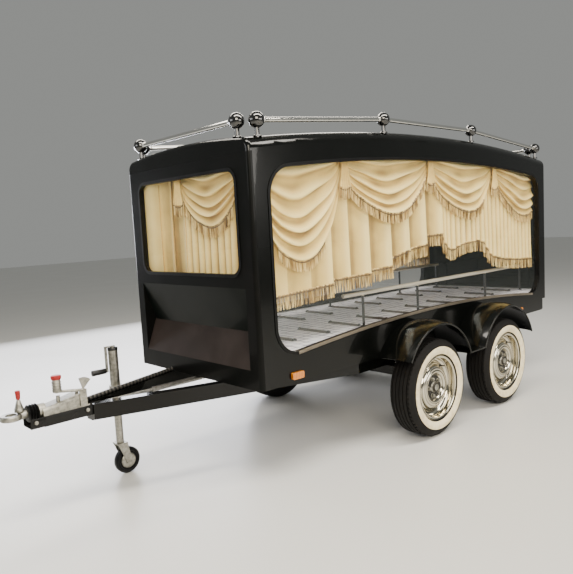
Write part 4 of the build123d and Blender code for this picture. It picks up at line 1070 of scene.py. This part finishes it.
def coupling_fittings():
    """Red knobs, brake grip, the latch pin's cone and the bolts of the hitch, and the jockey's black sleeves."""
    bolts = []
    for x in (1.815, 2.070):
        for side in SIDES.values():
            inner, face, end = side * 0.0500, side * 0.0585, side * 0.0625
            bolts += [outward("bolt", x, HITCH_BOLT_Z, inner, face, 0.0105, 0.0100, 6, 0.001),
                      outward("end", x, HITCH_BOLT_Z, face, end, 0.0055, 0.005, 16, 0.0008)]
    bolts += [upright("bolt", x, 0.018, 0.560, 0.612, 0.0095, 0.0090, 6, 0.001) for x in (1.850, 1.945)]
    fitted(bolts, "hitch_bolts", "zinc")
    cone = [upright("skirt", *LATCH, 0.572, 0.590, 0.022, 0.021, 28, 0.0015),
            upright("cone", *LATCH, 0.588, 0.628, 0.0195, 0.0085, 28, 0.0015)]
    fitted(cone, "latch_cone", "zinc")
    knobs = [upright("latch_knob", *LATCH, 0.630, 0.673, 0.0095, 0.0125, 24, 0.003),
             upright("brake_knob", *BRAKE_GRIP, 0.700, 0.722, 0.0235, 0.0250, 28, 0.006)]
    fitted(knobs, "hitch_knobs", "red_lens", 40, RED)
    grip = [upright("brake_grip", *BRAKE_GRIP, 0.638, 0.702, 0.0205, 0.0185, 24, 0.002)]
    for z in (0.646, 0.659, 0.672, 0.685):
        grip.append(upright("grip_ring", *BRAKE_GRIP, z, z + 0.006, 0.0222, 0.0222, 24, 0.0015))
    fitted(grip, "brake_grip", "zinc", 35)
    crank = (1.560, JOCKEY_Y, 0.618), (1.643, JOCKEY_Y, 0.618)
    sleeves = [round_piece("crank_grip", *crank, 0.0150, 0.0165, 24, 0.003),
               upright("tube_cap", JOCKEY_X, JOCKEY_Y, 0.728, 0.746, 0.0295, 0.0275, 28, 0.003)]
    fitted(sleeves, "hitch_grips", "rubber", 35, MOULDED)


def jockey_fittings():
    """Hub plates and bosses on both sides of the jockey wheel."""
    hub = []
    for side in SIDES.values():
        inner, plate, boss = (JOCKEY_Y + side * far for far in (0.018, 0.0245, 0.0275))
        hub += [outward("hub", *JOCKEY_AXLE, inner, plate, 0.046, 0.040, 36, 0.002),
                outward("boss", *JOCKEY_AXLE, inner + side * 0.002, boss, 0.018, 0.016, 28, 0.0015)]
    fitted(hub, "jockey_hub", "zinc", body="jockey_wheel")


# Stage

def set_camera():
    """Camera at the photograph's place, turned and rolled to match it."""
    data = bpy.data.cameras.new("camera")
    data.lens = 37.955
    data.sensor_width = 36.0
    data.sensor_fit = "HORIZONTAL"
    data.clip_end = 200.0
    holder = placed("camera", data)
    yaw, pitch, roll = radians(-132.76), radians(-5.736), -0.054
    ahead = Vector((cos(yaw) * cos(pitch), sin(yaw) * cos(pitch), sin(pitch)))
    right = ahead.cross(UP).normalized()
    up = right.cross(ahead)
    rolled = cos(roll) * right + sin(roll) * up, cos(roll) * up - sin(roll) * right
    turn = Matrix((*rolled, -ahead)).transposed().to_4x4()
    holder.matrix_world = Matrix.Translation((3.0678, 2.9203, 1.3734)) @ turn
    bpy.context.scene.camera = holder


def floor_paint():
    """Pale epoxy floor: even light grey with a soft sheen."""
    return patchy("pale_floor", {"Base Color": colour("#D6D5D0")}, (900, 0.34, 0.42))


def set_floor():
    """Floor under the wheels, out to the picture's edges."""
    floor = started("floor", "plane", size=60.0, location=(0, 0, 0))
    bpy.ops.object.mode_set(mode="OBJECT")
    floor.data.materials.append(floor_paint())


def light(name, place, aim, wide, tall, power, tint="#FFFFFF"):
    """Rectangular area light at a place, turned to an aim."""
    data = bpy.data.lights.new(name, "AREA")
    data.shape = "RECTANGLE"
    data.size, data.size_y = wide, tall
    data.energy = power
    data.color = colour(tint)[:3]
    holder = placed(name, data)
    away = Vector(place) - Vector(aim)
    holder.matrix_world = Matrix.Translation(place) @ away.to_track_quat("Z", "Y").to_matrix().to_4x4()


def set_lights():
    """Two long overhead boxes and soft side light, over an even pale surround."""
    world = bpy.data.worlds.new("surround")
    bpy.context.scene.world = world
    world.use_nodes = True
    sky = world.node_tree.nodes["Background"]
    sky.inputs["Color"].default_value = colour("#E6E8E4")
    sky.inputs["Strength"].default_value = 0.36
    light("overhead_near", (0.4, 2.1, 4.8), (-0.5, 0.3, 0.8), 6.0, 0.8, 420, "#FFF8EC")
    light("overhead_far", (-0.6, -1.9, 4.2), (-0.5, 0, 0.8), 6.0, 0.9, 160, "#FFF8EC")
    light("side_fill", (4.2, 5.0, 3.6), (-0.6, 0.5, 1.2), 3.2, 2.4, 360, "#FFF4E0")
    light("low_fill", (-1.2, 7.0, 2.2), (-0.8, 0, 0.8), 6.0, 1.4, 230, "#FFFAF2")
    light("far_window", (-0.8, -5.5, 1.5), (-0.5, 0, 0.75), 6.0, 1.4, 420, "#F4F6FF")
    light("nose_fill", (6.0, -1.5, 2.6), (0.8, 0, 0.9), 3.0, 1.6, 60)


dress_frame()
fit_tyres()
hang_curtains()
sill_strip()
gallery_fittings()
wheel_fittings()
roller_caps()
hitch_channel()
coupling_fittings()
jockey_fittings()
set_camera()
set_floor()
set_lights()
